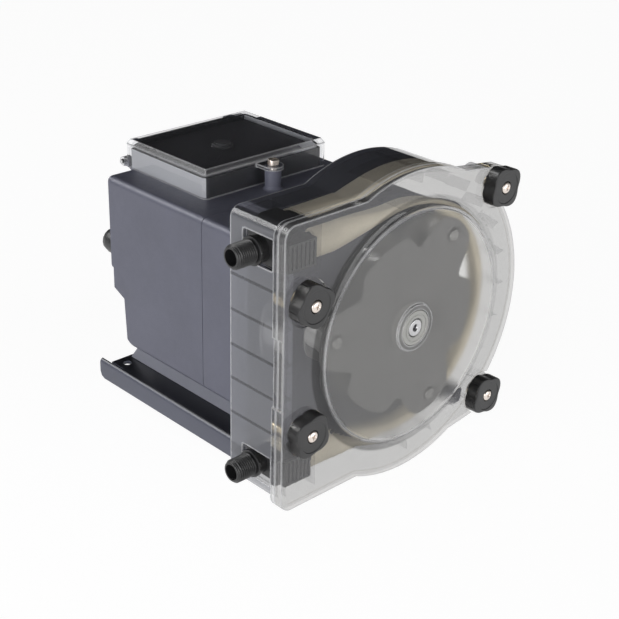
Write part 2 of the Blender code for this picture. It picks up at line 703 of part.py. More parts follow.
def build_rotor_body():
    holes = [ring(AXIS, HUB_HOLE_R, 24)]
    holes += [ring(polar(ROLLER_C, degrees), ROLLER_BORE_R, 12) for degrees in ROLLER_ANGLES]
    front = rotor_loop(long_r=64.7, short_r=52.6, notch_r=46.0)
    rear = rotor_loop(long_r=60.8, short_r=50.0, notch_r=44.0)
    pivot(plate("rotor_front_plate", "Y", [front] + holes, -37.2, -34.7, ROTOR_GREY),
          ROTOR_PIVOT)
    pivot(plate("rotor_rear_plate", "Y", [rear] + holes, -8.3, -6.3, ROTOR_GREY), ROTOR_PIVOT)
    pivot(turned("rotor_hub", "Y", AXIS, HUB_PROFILE, 20, HUB_GREY), ROTOR_PIVOT)


def build_rollers():
    """Rollers on their pins, and the spacers midway between them."""
    for i, degrees in enumerate(ROLLER_ANGLES, start=1):
        x, z = polar(ROLLER_C, degrees)
        pivot(turned(f"roller_{i}", "Y", (x, z), ROLLER_PROFILE, 16, ROLLER_GREY), (x, 0, z))
        pivot(turned(f"roller_pin_{i}", "Y", (x, z), ROLLER_PIN_PROFILE, 12, PIN_STEEL),
              ROTOR_PIVOT)
        pivot(rod(f"rotor_spacer_{i}", "Y", polar(SPACER_C, degrees - 60.0), 4.0,
                  -34.4, -8.6, 12, PIN_STEEL), ROTOR_PIVOT)


def build_output_shaft():
    pivot(turned("output_shaft", "Y", AXIS, OUTPUT_SHAFT_PROFILE, 20, STEEL), ROTOR_PIVOT)
    bearing = [(SHAFT_BORE_R, -2.9), (12.0, -2.9), (12.0, 5.6), (SHAFT_BORE_R, 5.6)]
    turned("shaft_bearing_front", "Y", AXIS, bearing, 20, BRASS)


# ---------------------------------------------------------------- gear train and motor
def gear_loop(centre, teeth, module, phase):
    """Straight-flanked teeth with backlash; phase puts a tooth's middle at that angle."""
    pitch_r = teeth * module * 0.5
    tip_r, root_r = pitch_r + 0.9 * module, pitch_r - 1.15 * module
    step = math.tau / teeth
    # (offset in tooth pitches, radius)
    tooth = ((-0.30, root_r), (-0.11, tip_r), (0.11, tip_r), (0.30, root_r))
    loop = []
    for k in range(teeth):
        for offset, radius in tooth:
            angle = phase + k * step + offset * step
            loop.append((centre[0] + radius * math.cos(angle),
                         centre[1] + radius * math.sin(angle)))
    return loop


def direction(start, end):
    return math.atan2(end[1] - start[1], end[0] - start[0])


OUTPUT_TO_IDLER = direction(AXIS, IDLER_POS)
IDLER_TO_MOTOR = direction(IDLER_POS, MOTOR_POS)


def pinion_loop(centre, teeth, module, drive_angle):
    """Pinion with a tooth gap facing back along the direction from its mating gear."""
    return gear_loop(centre, teeth, module, drive_angle + math.pi + math.pi / teeth)


def build_gears():
    drive = gear_loop(AXIS, GEAR_N, GEAR_M, OUTPUT_TO_IDLER)
    pivot(plate("drive_gear", "Y", [drive, ring(AXIS, SHAFT_BORE_R, 20)], 6.2, 13.2, GEAR),
          ROTOR_PIVOT)
    bore = ring(IDLER_POS, SMALL_BORE_R, 16)
    wheel = gear_loop(IDLER_POS, IDLER_N, IDLER_M, IDLER_TO_MOTOR)
    idler = plate("idler_gear", "Y", [wheel, bore], 15.0, 20.0, GEAR)
    pinion = pinion_loop(IDLER_POS, IDLER_PINION_N, GEAR_M, OUTPUT_TO_IDLER)
    fuse(idler, plate("idler_pinion", "Y", [pinion, bore], 6.0, 15.5))
    pivot(idler, (IDLER_POS[0], 0, IDLER_POS[1]))
    rod("idler_shaft", "Y", IDLER_POS, SMALL_SHAFT_R, 3.2, 28.5, 16, STEEL)
    loops = [[(-54, 40), (50, 40), (50, 122), (-54, 122)], ring(AXIS, SHAFT_BORE_R, 20), bore,
             ring(MOTOR_POS, 6.0, 16)]
    plate("gearbox_plate", "Y", loops, 22.4, 25.4, ZINC)


def build_motor():
    x, z = MOTOR_POS
    shaft = rod("motor_shaft", "Y", MOTOR_POS, SMALL_SHAFT_R, 14.0, 116.0, 20, STEEL)
    pinion = pinion_loop(MOTOR_POS, MOTOR_PINION_N, IDLER_M, IDLER_TO_MOTOR)
    fuse(shaft, plate("motor_pinion", "Y", [pinion], 14.6, 20.4))
    pivot(shaft, (x, 0, z))
    # stator: a square with cut corners
    half, flat = 33, 29
    offsets = ((-half, -flat), (-flat, -half), (flat, -half), (half, -flat),
               (half, flat), (flat, half), (-flat, half), (-half, flat))
    stator = [(x + dx, z + dz) for dx, dz in offsets]
    plate("motor_stator", "Y", [stator, ring(MOTOR_POS, 17.3, 24)], 48.0, 98.0, LAMINATE)
    rotor = [(SMALL_BORE_R, 50.0), (16.6, 50.0), (16.6, 96.0), (SMALL_BORE_R, 96.0)]
    pivot(turned("motor_rotor", "Y", MOTOR_POS, rotor, 24, STEEL), (x, 0, z))
    bearing = [(SMALL_BORE_R, 99.0), (30.0, 99.0), (30.0, 102.0), (9.0, 105.0),
               (9.0, 110.0), (SMALL_BORE_R, 110.0)]
    turned("motor_end_bearing", "Y", MOTOR_POS, bearing, 18, ZINC)


# ---------------------------------------------------------------- motor housing
def housing_section(inset, z0, z1, corner):
    """Housing cross-section, inset from its side faces."""
    return rounded_rect(HOUSE_LEFT + inset, HOUSE_RIGHT - inset, z0, z1, corner, 3)


def build_housing_front():
    outer = housing_section(0.0, HOUSE_BOTTOM, HOUSE_TOP, HOUSE_CORNER)
    front = plate("housing_front", "Y", [outer], 0.4, SEAM_Y - SEAM_HALF_GAP, SLATE)
    inner = housing_section(HOUSE_WALL, HOUSE_BOTTOM + HOUSE_WALL, HOUSE_TOP - HOUSE_WALL, 2.0)
    cut(front, plate("front_hollow", "Y", [inner], 3.0, SEAM_Y + 5.0))
    cut(front, rod("front_bearing_hole", "Y", AXIS, BEARING_HOLE_R, -5.0, 10.0, 20))


def build_housing_rear():
    outer = housing_section(0.0, HOUSE_BOTTOM, HOUSE_TOP, HOUSE_CORNER)
    rear = plate("housing_rear", "Y", [outer], SEAM_Y + SEAM_HALF_GAP, HOUSE_REAR, SLATE_REAR)
    # step in the lower rear, (y, z)
    step = [(119.0, HOUSE_BOTTOM - 5), (119.0, HOUSE_BOTTOM), (125.0, 30.6), (126.6, 56.7),
            (HOUSE_REAR, 61.0), (HOUSE_REAR + 5, 61.0), (HOUSE_REAR + 5, HOUSE_BOTTOM - 5)]
    cut(rear, plate("rear_step", "X", [step], HOUSE_LEFT - 5, HOUSE_RIGHT + 5))
    # the hollow breaks out through the rear wall between Z 74 and 125
    floor, ceiling = HOUSE_BOTTOM + HOUSE_WALL, HOUSE_TOP - HOUSE_WALL
    wall_y = HOUSE_REAR - HOUSE_WALL
    hollow = [(SEAM_Y - 5, floor), (117.5, floor), (122.0, 32.0), (123.6, 58.5),
              (wall_y, 63.2), (wall_y, 74.0), (HOUSE_REAR + 5, 74.0), (HOUSE_REAR + 5, 125.0),
              (wall_y, 125.0), (wall_y, ceiling), (SEAM_Y - 5, ceiling)]
    cut(rear, plate("rear_hollow", "X", [hollow], HOUSE_LEFT + HOUSE_WALL,
                    HOUSE_RIGHT - HOUSE_WALL))
    fuse(rear, rod("lid_post", "Z", POST, 4.7, HOUSE_TOP - 1.5, 141.6, 20))
    cut(rear, rod("lid_post_hole", "Z", POST, 2.1, 133.0, 145.0, 16))
    cut(rear, rod("signal_hole", "Y", SIGNAL_GLAND, 2.6, 125.0, 145.0, 16))


def cover_knuckle(side):
    """Bracket reaching back from the rear cover to the hinge."""
    y, z = HINGE
    loop = [(HOUSE_REAR + 1.5, 122.0), (141.0, 122.0), (y + KNUCKLE_R, 127.0)]
    loop += arc((y, z), KNUCKLE_R, 0, 180, 8)
    loop += [(y - KNUCKLE_R, 129.9), (HOUSE_REAR + 1.5, 129.9)]
    return plate("knuckle", "X", [loop], *span(side, 33.5, 39.6))


def build_rear_cover():
    outline = housing_section(0.6, 71.8, HOUSE_TOP - 0.2, 3.0)
    cover = plate("rear_cover", "Y", [outline, ring(POWER_GLAND, 5.3, 20)],
                  HOUSE_REAR + 0.3, HOUSE_REAR + 2.8, SLATE)
    fuse(cover, merged("hinge_knuckles", [cover_knuckle(side) for side in (1, -1)]))
    cut(cover, rod("hinge_bore", "X", HINGE, HINGE_BORE_R, -45, 45, 16))
    holes = [rod("hole", "Y", centre, 1.9, 130.0, 145.0, 12) for centre in REAR_SCREWS.values()]
    cut(cover, merged("rear_screw_holes", holes))


# (radius, y)
REAR_SCREW_PROFILE = [(0, 129.0), (1.5, 129.0), (1.5, 139.3), (3.2, 139.3), (3.2, 140.6),
                      (2.2, 141.4), (0, 141.6)]
POWER_GLAND_PROFILE = [(2.6, 134.4), (4.9, 134.4), (4.9, 139.3), (7.9, 139.3), (7.9, 147.5),
                       (7.0, 151.5), (4.6, 154.3), (2.6, GLAND_REAR)]
SIGNAL_GLAND_PROFILE = [(0, 131.0), (2.2, 131.0), (2.2, 136.5), (4.4, 136.5), (4.4, 141.5),
                        (3.2, 144.6), (0, 145.6)]


def build_rear_fittings():
    for key, centre in REAR_SCREWS.items():
        turned("rear_screw_" + key, "Y", centre, REAR_SCREW_PROFILE, 14, SCREW_STEEL)
    turned("power_gland", "Y", POWER_GLAND, POWER_GLAND_PROFILE, 16, BLACK)
    turned("signal_gland", "Y", SIGNAL_GLAND, SIGNAL_GLAND_PROFILE, 12, BLACK)


# ---------------------------------------------------------------- control box on top
# (radius, z)
DIAL_PROFILE = [(0, 131.4), (1.7, 131.4), (1.7, 133.5), (6.6, 133.5), (6.6, 137.0),
                (5.9, 137.6), (5.0, 137.6), (4.7, 141.2), (4.2, 141.6), (0, 141.6)]
LID_SCREW_PROFILE = [(0, 135.0), (1.4, 135.0), (1.4, 144.4), (3.2, 144.4), (3.2, 147.0),
                     (2.7, 147.5), (0, 147.5)]


def build_control_box():
    outer = rounded_rect(-BOX_X, BOX_X, BOX_FRONT, BOX_REAR, 2.5, 2)
    inner = rounded_rect(BOX_WALL - BOX_X, BOX_X - BOX_WALL, BOX_FRONT + BOX_WALL,
                         BOX_REAR - BOX_WALL, 1.2, 2)
    plate("control_box", "Z", [outer, inner], HOUSE_TOP + 0.3, BOX_TOP, SLATE)
    panel = box("control_panel", (PANEL_INSET - BOX_X, BOX_FRONT + PANEL_INSET, 131.0),
                (BOX_X - PANEL_INSET, BOX_REAR - PANEL_INSET, 133.2), PANEL)
    cut(panel, rod("dial_hole", "Z", DIAL, 2.0, 128, 136, 14))
    pivot(turned("speed_dial", "Z", DIAL, DIAL_PROFILE, 16, BLACK), (*DIAL, 133.5))


def lid_knuckle(side):
    y, z = HINGE
    loop = [(LID_REAR - 1.0, LID_BOTTOM), (y, LID_BOTTOM - 0.9)]
    loop += arc((y, z), KNUCKLE_R, -80, 90, 8) + [(LID_REAR - 1.0, z + KNUCKLE_R)]
    return plate("lid_knuckle", "X", [loop], *span(side, 40.2, 45.4))


def build_lid():
    outline = rounded_rect(-LID_X, LID_X, LID_FRONT, LID_REAR, 2.5, 2)
    lid = plate("clear_lid", "Z", [outline], LID_BOTTOM, LID_TOP - 2.6, CLEAR)
    fuse(lid, hip_block("lid_top", LID_X - 0.5, LID_FRONT + 0.5, LID_REAR - 0.5,
                        LID_TOP - 3.0, LID_TOP, inset=1.7))
    # ear over the post at the front
    ear_r = 6.0
    ear = arc(POST, ear_r, 180, 360, 10)
    ear += [(POST[0] + ear_r, LID_FRONT + 1.0), (POST[0] - ear_r, LID_FRONT + 1.0)]
    fuse(lid, plate("lid_ear", "Z", [ear], 142.0, 144.1))
    fuse(lid, merged("lid_knuckles", [lid_knuckle(side) for side in (1, -1)]))
    wall = 2.0
    cut(lid, box("lid_hollow", (wall - LID_X, LID_FRONT + wall, LID_BOTTOM - 2.0),
                 (LID_X - wall, LID_REAR - wall, LID_TOP - 5.0)))
    cut(lid, hip_block("lid_hollow_top", LID_X - 2.6, LID_FRONT + 2.6, LID_REAR - 2.6,
                       LID_TOP - 5.4, LID_TOP - 2.0, inset=1.6))
    cut(lid, rod("lid_hinge_bore", "X", HINGE, HINGE_BORE_R, -52, 52, 16))
    cut(lid, rod("lid_ear_hole", "Z", POST, 1.75, 138, 148, 16))
    pivot(lid, (0, *HINGE))
    rod("hinge_pin", "X", HINGE, 1.4, -46.6, 46.6, 14, STEEL)


def build_lid_screw():
    x, y = POST
    screw = turned("lid_screw", "Z", POST, LID_SCREW_PROFILE, 16, BRASS)
    cut(screw, box("screw_slot", (x - 5, y - 0.45, 146.5), (x + 5, y + 0.45, 150.0)))
    pivot(screw, (x, y, 144.4))


# ---------------------------------------------------------------- base
def bracket_section():
    """Shallow channel, open downwards, with rounded bends."""
    x, inner_x = BRACKET_X, BRACKET_X - BRACKET_T
    bend_x, bend_z = x - BRACKET_BEND_R, BRACKET_TOP - BRACKET_BEND_R
    inner_r = BRACKET_BEND_R - BRACKET_T
    return ([(-x, 0.0)]
            + arc((-bend_x, bend_z), BRACKET_BEND_R, 180, 90, 3)
            + arc((bend_x, bend_z), BRACKET_BEND_R, 90, 0, 3)
            + [(x, 0.0), (inner_x, 0.0)]
            + arc((bend_x, bend_z), inner_r, 0, 90, 2)
            + arc((-bend_x, bend_z), inner_r, 90, 180, 2)
            + [(-inner_x, 0.0)])


def flange_corner(y, outward):
    """Cutter that takes off the lower corners of both flanges at one end."""
    loop = [(y - outward * 4.0, -1.0), (y + outward * 2.0, -1.0), (y + outward * 2.0, 4.0),
            (y, 4.0), (y - outward * 1.2, 1.2), (y - outward * 4.0, 0.0)]
    return plate("corner", "X", [loop], -BRACKET_X - 5, BRACKET_X + 5)


def bend_relief(side):
    x0, x1 = span(side, BRACKET_X - 2.9, BRACKET_X - 2.05)
    return box("relief", (x0, 124.0, 8.5), (x1, BRACKET_END + 5.0, BRACKET_TOP + 4.0))


def build_bracket():
    bracket = plate("mounting_bracket", "Y", [bracket_section()], BRACKET_FRONT, BRACKET_END,
                    PAINT)
    # the web stops short of the flanges' rear ends
    cut(bracket, box("floor_end", (2.7 - BRACKET_X, BRACKET_FLOOR_END, -2.0),
                     (BRACKET_X - 2.7, BRACKET_END + 5.0, BRACKET_TOP + 4.0)))
    cut(bracket, merged("bend_reliefs", [bend_relief(side) for side in (1, -1)]))
    corners = [flange_corner(BRACKET_END, 1), flange_corner(BRACKET_FRONT, -1)]
    cut(bracket, merged("flange_corners", corners))
    holes = [rod("hole", "Z", (x, y), 2.6, 5.0, 20.0, 12)
             for x in (-62.5, 62.5) for y in (15.0, 128.2)]
    holes += [rod("hole", "Z", centre, FOOT_BOLT_HOLE_R, 5.0, 20.0, 12)
              for centre in FOOT_BOLTS.values()]
    cut(bracket, merged("bracket_holes", holes))


def build_foot():
    """Block between bracket and housing, tapered at both sides and the rear."""
    foot = tapered_block("mounting_foot", (-56.0, 56.0, 4.0, 133.0, 12.8),
                         (-51.5, 51.5, 4.0, 126.0, 25.6), FOOT)
    holes = [rod("hole", "Z", centre, FOOT_BOLT_HOLE_R, 10.0, 22.0, 16)
             for centre in FOOT_BOLTS.values()]
    cut(foot, merged("foot_holes", holes))
    # (radius, z)
    bolt = [(0, 20.5), (2.5, 20.5), (2.5, 10.2), (5.0, 10.2), (5.0, 6.8), (0, 6.8)]
    for key, centre in FOOT_BOLTS.items():
        turned("foot_bolt_" + key, "Z", centre, bolt, 12, ZINC)


# ---------------------------------------------------------------- assembly
def move_to_object_frame():
    for ob in list(PARTS.objects) + list(CUTTERS.objects):
        ob.location = ob.location + Vector(FRAME_SHIFT) * MM
    bpy.context.view_layer.update()


build_head_body()
build_front_cover()
build_hub_bushing()
build_knobs()
build_fittings()
build_squeeze_tube()
build_rotor_body()
build_rollers()
build_output_shaft()
build_gears()
build_motor()
build_housing_front()
build_housing_rear()
build_rear_cover()
build_rear_fittings()
build_control_box()
build_lid()
build_lid_screw()
build_bracket()
build_foot()
move_to_object_frame()
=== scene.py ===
"""Looks of a peristaltic pump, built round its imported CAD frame.

The rotor axis runs along y. The round head with its transparent cover faces -y, the tube ports
point to -x, and the motor housing with its clear lid lies behind the head, towards +y.
"""
import json
import math

import bmesh
import bpy
from mathutils import Matrix, Vector

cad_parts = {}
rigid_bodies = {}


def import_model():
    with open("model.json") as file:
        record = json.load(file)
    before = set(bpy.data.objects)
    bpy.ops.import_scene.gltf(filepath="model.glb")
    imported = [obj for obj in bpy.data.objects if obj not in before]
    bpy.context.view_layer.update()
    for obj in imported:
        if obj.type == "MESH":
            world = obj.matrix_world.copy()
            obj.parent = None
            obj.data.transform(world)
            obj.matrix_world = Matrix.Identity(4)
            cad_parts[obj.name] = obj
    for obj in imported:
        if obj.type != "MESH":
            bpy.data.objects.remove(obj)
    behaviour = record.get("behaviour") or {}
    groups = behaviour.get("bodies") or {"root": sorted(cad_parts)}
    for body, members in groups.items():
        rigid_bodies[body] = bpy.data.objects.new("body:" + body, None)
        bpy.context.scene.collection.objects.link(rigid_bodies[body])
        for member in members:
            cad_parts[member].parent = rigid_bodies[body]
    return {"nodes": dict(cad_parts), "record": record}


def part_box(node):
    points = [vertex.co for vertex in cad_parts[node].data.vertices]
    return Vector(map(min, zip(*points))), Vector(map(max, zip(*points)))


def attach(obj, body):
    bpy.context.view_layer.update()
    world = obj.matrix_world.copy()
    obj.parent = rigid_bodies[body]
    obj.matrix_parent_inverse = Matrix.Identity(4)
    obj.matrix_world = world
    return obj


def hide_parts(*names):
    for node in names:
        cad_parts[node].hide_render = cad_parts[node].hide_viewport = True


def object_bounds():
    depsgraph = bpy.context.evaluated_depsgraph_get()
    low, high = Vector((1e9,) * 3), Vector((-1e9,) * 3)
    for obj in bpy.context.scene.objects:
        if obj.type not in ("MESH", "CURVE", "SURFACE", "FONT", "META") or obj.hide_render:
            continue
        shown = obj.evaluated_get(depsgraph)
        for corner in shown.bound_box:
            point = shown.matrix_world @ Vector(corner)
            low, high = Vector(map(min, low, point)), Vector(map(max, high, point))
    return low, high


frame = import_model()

CAD_LO, CAD_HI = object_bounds()
NODES = frame["nodes"]
MM = 0.001
BODY_OF = {node: body for body, nodes in frame["record"]["behaviour"]["bodies"].items()
           for node in nodes}

# ------------------------------------------------------------------ origin, from the CAD frame
shaft_lo, shaft_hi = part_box("output_shaft")
SHAFT_X = (shaft_lo.x + shaft_hi.x) / 2 / MM
SHAFT_Z = (shaft_lo.z + shaft_hi.z) / 2 / MM
JOINT_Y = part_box("head_body")[1].y / MM             # joint plane between head and motor housing
UNDERSIDE_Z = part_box("mounting_bracket")[0].z / MM
SHIFT = Vector((SHAFT_X, JOINT_Y, UNDERSIDE_Z)) * MM
AXIS_Z = SHAFT_Z - UNDERSIDE_Z

# ------------------------------------------------------------------ sizes
# Millimetres, from the rotor axis (x = 0), the joint plane (y = 0) and the underside (z = 0).
# Half heights and the z of ports and ribs are taken from the rotor axis.

# head: a disc with a square left end; the flange meets the cover
FLANGE_R, FLANGE_LEFT, FLANGE_HALF_H, FLANGE_CORNER = 87.2, -91.3, 79.3, 7.0
FLANGE_FRONT, FLANGE_BACK = -37.8, -34.7
BODY_R, BODY_LEFT, BODY_HALF_H, BODY_CORNER = 86.4, -88.6, 77.0, 6.0
BODY_WALL, BODY_BACK = 2.8, 3.0
IN_BODY_BACK = -BODY_BACK + 0.5                     # inner parts sink this far into the back wall
TRACK_R, TRACK_WALL = 67.5, 2.7
RIB_T, RIB_START = 1.5, 77.5                        # radial ribs: thickness, inner radius
SIDE_RIBS = (42.1, 22.2, 2.5, -16.9, -37.0)         # z of the level ribs on the left wall
LUG_R, LUG_SPAN = 10.8, (37.0, 64.0)                # radius, and degrees where the lug leaves the disc

# front cover
COVER_FRONT, COVER_BACK, COVER_SKIN = -43.05, -38.1, 2.5
WINDOW_R, WINDOW_BASE_R, WINDOW_FRONT = 65.5, 70.6, -45.5
BOSS_R, BOSS_FRONT = 13.2, -47.0
NOTCH_HALF_H, NOTCH_DEPTH = 19.5, 1.1               # shallow notch in the left edge

# knobs
KNOB_RIGHT = (64.8, 64.0)
LEFT_BOSS_R, RECESS_R, KNOB_SEAT, KNOB_FRONT, KNOB_R = 13.6, 12.9, -41.0, -49.5, 10.7
KNOBS = {"upper_left": (-75.5, AXIS_Z + 36.4),
         "lower_left": (-75.5, AXIS_Z - 36.4),
         "upper_right": (KNOB_RIGHT[0], AXIS_Z + KNOB_RIGHT[1]),
         "lower_right": (KNOB_RIGHT[0], AXIS_Z - KNOB_RIGHT[1])}
KNOB_TURN = {"upper_left": 103, "lower_left": 147, "upper_right": 124, "lower_right": 122}

# ports and tube
PORT_Z, PORT_Y, PORT_TIP, BLOCK_FRONT = 60.0, -18.7, -104.0, -35.4
TUBE_R, TUBE_WALL, TUBE_START, TUBE_STRAIGHT_END = 8.2, 2.35, -63.2, -48.0
TUBE_ARC_R, TUBE_FLAT, TUBE_WIDE = 64.5, 2.7, 8.2   # arc radius; half thickness, half width in it

# rotor
ROLLER_C, ROLLER_ANGLES = 53.7, (53.0, 173.0, 293.0)
SHAFT_HOLE_R = 12.4

# motor housing
HOUSE_LEFT, HOUSE_RIGHT, HOUSE_BOTTOM, HOUSE_TOP = -64.0, 57.0, 25.9, 130.2
HOUSE_WALL, SEAM_Y, HOUSE_REAR = 2.8, 53.0, 136.2

# clear lid: half width, ends and levels, hinge axis, screw post
LID_X, LID_FRONT, LID_REAR, LID_TOP, LID_BOTTOM = 46.0, 71.5, 145.2, 147.6, 130.6
HINGE_Y, HINGE_Z = 149.0, 132.5
POST_X, POST_Y = -3.2, 63.5


def mm(*values):
    return tuple(value * MM for value in values)


# ================================================================== shader node kit
class Nodes:
    """Node tree of a material or the world. Most methods add a node and return its output socket."""

    def __init__(self, owner, output="OutputMaterial", space="Object"):
        owner.use_nodes = True
        self.owner = owner
        self.tree = owner.node_tree
        self.tree.nodes.clear()
        self.output = self.node(output)
        self.position = self.get("TexCoord", out=space)

    def node(self, kind, inputs=None, **settings):
        node = self.tree.nodes.new("ShaderNode" + kind)
        for key, value in settings.items():
            setattr(node, key, value)
        for key, value in (inputs or {}).items():
            socket = node.inputs[key]
            if isinstance(value, bpy.types.NodeSocket):
                self.tree.links.new(value, socket)
            elif socket.type == "RGBA":
                socket.default_value = (*value, 1.0)
            else:
                socket.default_value = value
        return node

    def get(self, kind, inputs=None, out=0, **settings):
        return self.node(kind, inputs, **settings).outputs[out]

    def noise(self, scale, detail=3.0, rough=0.55, stretch=None):
        at = self.position
        if stretch:
            at = self.get("Mapping", {"Vector": at, "Scale": stretch})
        return self.get("TexNoise", {"Vector": at, "Scale": scale, "Detail": detail,
                                     "Roughness": rough}, out="Fac")

    def span(self, value, over, to=(0.0, 1.0), **settings):
        return self.get("MapRange", {"Value": value, "From Min": over[0], "From Max": over[1],
                                     "To Min": to[0], "To Max": to[1]}, out="Result", **settings)

    def math(self, operation, a, b=0.0):
        return self.get("Math", {0: a, 1: b}, operation=operation)

    def plus(self, a, b):
        return self.math("ADD", a, b)

    def minus(self, a, b):
        return self.math("SUBTRACT", a, b)

    def times(self, a, b):
        return self.math("MULTIPLY", a, b)

    def dot(self, a, b):
        return self.get("VectorMath", {0: a, 1: b}, out="Value", operation="DOT_PRODUCT")

    def mix(self, factor, a, b):
        return self.get("Mix", {0: factor, 6: a, 7: b}, out=2, data_type="RGBA")

    def mix_shader(self, factor, a, b):
        return self.get("MixShader", {0: factor, 1: a, 2: b})

    def bump(self, height, strength, distance, normal=None):
        inputs = {"Strength": strength, "Distance": distance, "Height": height}
        if normal is not None:
            inputs["Normal"] = normal
        return self.get("Bump", inputs, out="Normal")

    def xyz(self, vector):
        return self.node("SeparateXYZ", {0: vector}).outputs

    def normal(self):
        return self.get("NewGeometry", out="Normal")

    def edge(self, radius, over=(0.02, 0.25)):
        """Mask of the sharp edges."""
        rounded = self.get("Bevel", {"Radius": radius}, out="Normal", samples=4)
        return self.span(self.minus(1.0, self.dot(rounded, self.normal())), over=over)

    def finish(self, shader):
        self.tree.links.new(shader, self.output.inputs["Surface"])
        return self.owner

    def finish_principled(self, **inputs):
        named = {key.replace("_", " "): value for key, value in inputs.items()}
        return self.finish(self.get("BsdfPrincipled", named))


def material_nodes(name):
    return Nodes(bpy.data.materials.new(name))


def scaled(colour, factor):
    return tuple(min(1.0, channel * factor) for channel in colour)


# ================================================================== materials
def moulded(name, colour, rough=0.45, drift=0.10, grain=2600.0, grain_depth=0.00005,
            rubbed=0.35, sides=None):
    """Injection-moulded plastic: fine grain, slow colour drift, rubbed edges, scuffs."""
    n = material_nodes(name)
    slow = n.noise(scale=22.0, detail=4)
    mid = n.noise(scale=260.0)
    fine = n.noise(scale=grain, detail=2, rough=0.6)
    scuffs = n.noise(scale=90.0, detail=5, rough=0.7, stretch=(1.0, 14.0, 3.0))
    base = n.mix(n.span(slow, over=(0.3, 0.7)),
                 scaled(colour, 1.0 - drift), scaled(colour, 1.0 + drift))
    base = n.mix(n.span(fine, over=(0.35, 0.7), to=(0.0, 0.16)), base, scaled(colour, 1.6))
    if rubbed > 0:
        worn = n.times(n.edge(radius=0.0005), n.span(mid, over=(0.3, 0.65), to=(0.25, 1.0)))
        base = n.mix(n.times(worn, rubbed), base, scaled(colour, 2.0))
    # painted light and shade from the side: the faces turned to +x and -x take another colour
    if sides:           # another colour on the faces turned to +x and -x
        painted_side_mask = n.math("ABSOLUTE", n.xyz(n.normal())[0])
        base = n.mix(n.span(painted_side_mask, over=(0.55, 0.85)), base, sides)
    roughness = n.plus(n.span(mid, over=(0.25, 0.75), to=(rough - 0.06, rough + 0.07)),
                       n.span(scuffs, over=(0.60, 0.75), to=(0.0, -0.07)))
    relief = n.bump(fine, strength=0.5, distance=grain_depth)
    relief = n.bump(mid, strength=0.15, distance=0.00005, normal=relief)
    return n.finish_principled(Base_Color=base, Roughness=roughness, Normal=relief)


def powder(name, colour, rough=0.36):
    """Satin powder coat on sheet steel: orange peel, edges rubbed down to lighter metal."""
    n = material_nodes(name)
    peel = n.noise(scale=620.0, detail=2, rough=0.4)
    slow = n.noise(scale=18.0, detail=4)
    fine = n.noise(scale=4200.0, detail=2)
    base = n.mix(n.span(slow, over=(0.3, 0.7)), scaled(colour, 0.9), scaled(colour, 1.1))
    base = n.mix(n.span(fine, over=(0.4, 0.7), to=(0.0, 0.15)), base, scaled(colour, 1.6))
    patches = n.span(n.noise(scale=300.0, detail=4), over=(0.42, 0.6))
    worn = n.times(n.edge(radius=0.0004), patches)
    base = n.mix(n.times(worn, 0.6), base, (0.42, 0.43, 0.46))
    relief = n.bump(peel, strength=0.3, distance=0.00012)
    # faces turned upwards are darker, to stand for the housing's shade
    upward = n.xyz(n.normal())[2]
    base = n.mix(n.span(upward, over=(0.6, 0.9)), base, scaled(colour, 0.16))
    roughness = n.span(slow, over=(0.3, 0.7), to=(rough - 0.05, rough + 0.08))
    return n.finish_principled(Base_Color=base, Roughness=roughness, Normal=relief)


def metal(name, colour, rough=0.25, stretch=(1, 30, 1), grain=900.0):
    """Machined metal: fine tool marks, patchy tarnish, roughness that follows both."""
    n = material_nodes(name)
    marks = n.noise(scale=grain, rough=0.6, stretch=stretch)
    slow = n.noise(scale=160.0, detail=4)
    tarnish = n.times(n.span(slow, over=(0.35, 0.75)), 0.25)
    base = n.mix(tarnish, colour, scaled(colour, 0.45))
    base = n.mix(n.span(marks, over=(0.3, 0.7), to=(0.0, 0.25)), base, scaled(colour, 1.25))
    roughness = n.plus(n.span(marks, over=(0.3, 0.7), to=(rough - 0.05, rough + 0.09)),
                       n.span(slow, over=(0.4, 0.8), to=(0.0, 0.12)))
    relief = n.bump(marks, strength=0.25, distance=0.00003)
    return n.finish_principled(Base_Color=base, Roughness=roughness, Metallic=1.0, Normal=relief)


def lamination(name):
    """Stacked motor sheets: thin stripes along the motor's length, with rusty patches."""
    n = material_nodes(name)
    sheets = n.get("TexWave", {"Vector": n.position, "Scale": 320.0, "Distortion": 0.4},
                   out="Fac", wave_type="BANDS", bands_direction="Y")
    rust = n.noise(scale=120.0, detail=4)
    base = n.mix(sheets, (0.05, 0.05, 0.055), (0.20, 0.20, 0.21))
    base = n.mix(n.span(rust, over=(0.55, 0.75), to=(0.0, 0.5)), base, (0.16, 0.08, 0.04))
    return n.finish_principled(Base_Color=base, Metallic=0.7,
                               Roughness=n.span(rust, over=(0.3, 0.7), to=(0.35, 0.6)),
                               Normal=n.bump(sheets, strength=0.5, distance=0.0001))


def elastomer(name, colour):
    """Extruded tube: faint draw lines, soft sheen."""
    n = material_nodes(name)
    lines = n.noise(scale=700.0, stretch=(1, 1, 9))
    slow = n.noise(scale=40.0)
    fine = n.noise(scale=2600.0, detail=2)
    base = n.mix(n.span(slow, over=(0.3, 0.7)), scaled(colour, 0.88), scaled(colour, 1.08))
    base = n.mix(n.span(lines, over=(0.45, 0.7), to=(0.0, 0.2)), base, scaled(colour, 0.7))
    # painted light: the weak emission makes the tube glow a little, standing for light scattered in
    # the tube wall
    return n.finish_principled(Base_Color=base, Sheen_Weight=0.15,
                               Roughness=n.span(fine, over=(0.3, 0.7), to=(0.48, 0.66)),
                               Normal=n.bump(fine, strength=0.3, distance=0.00004),
                               Emission_Color=colour, Emission_Strength=0.11)


# ------------------------------------------------------------------ transparent mouldings
def from_line(n, point, x, z):
    """Offset in x, offset in z and distance from the line along y through (x, z), in metres."""
    dx = n.minus(point[0], x)
    dz = n.minus(point[2], z)
    return dx, dz, n.math("SQRT", n.plus(n.times(dx, dx), n.times(dz, dz)))


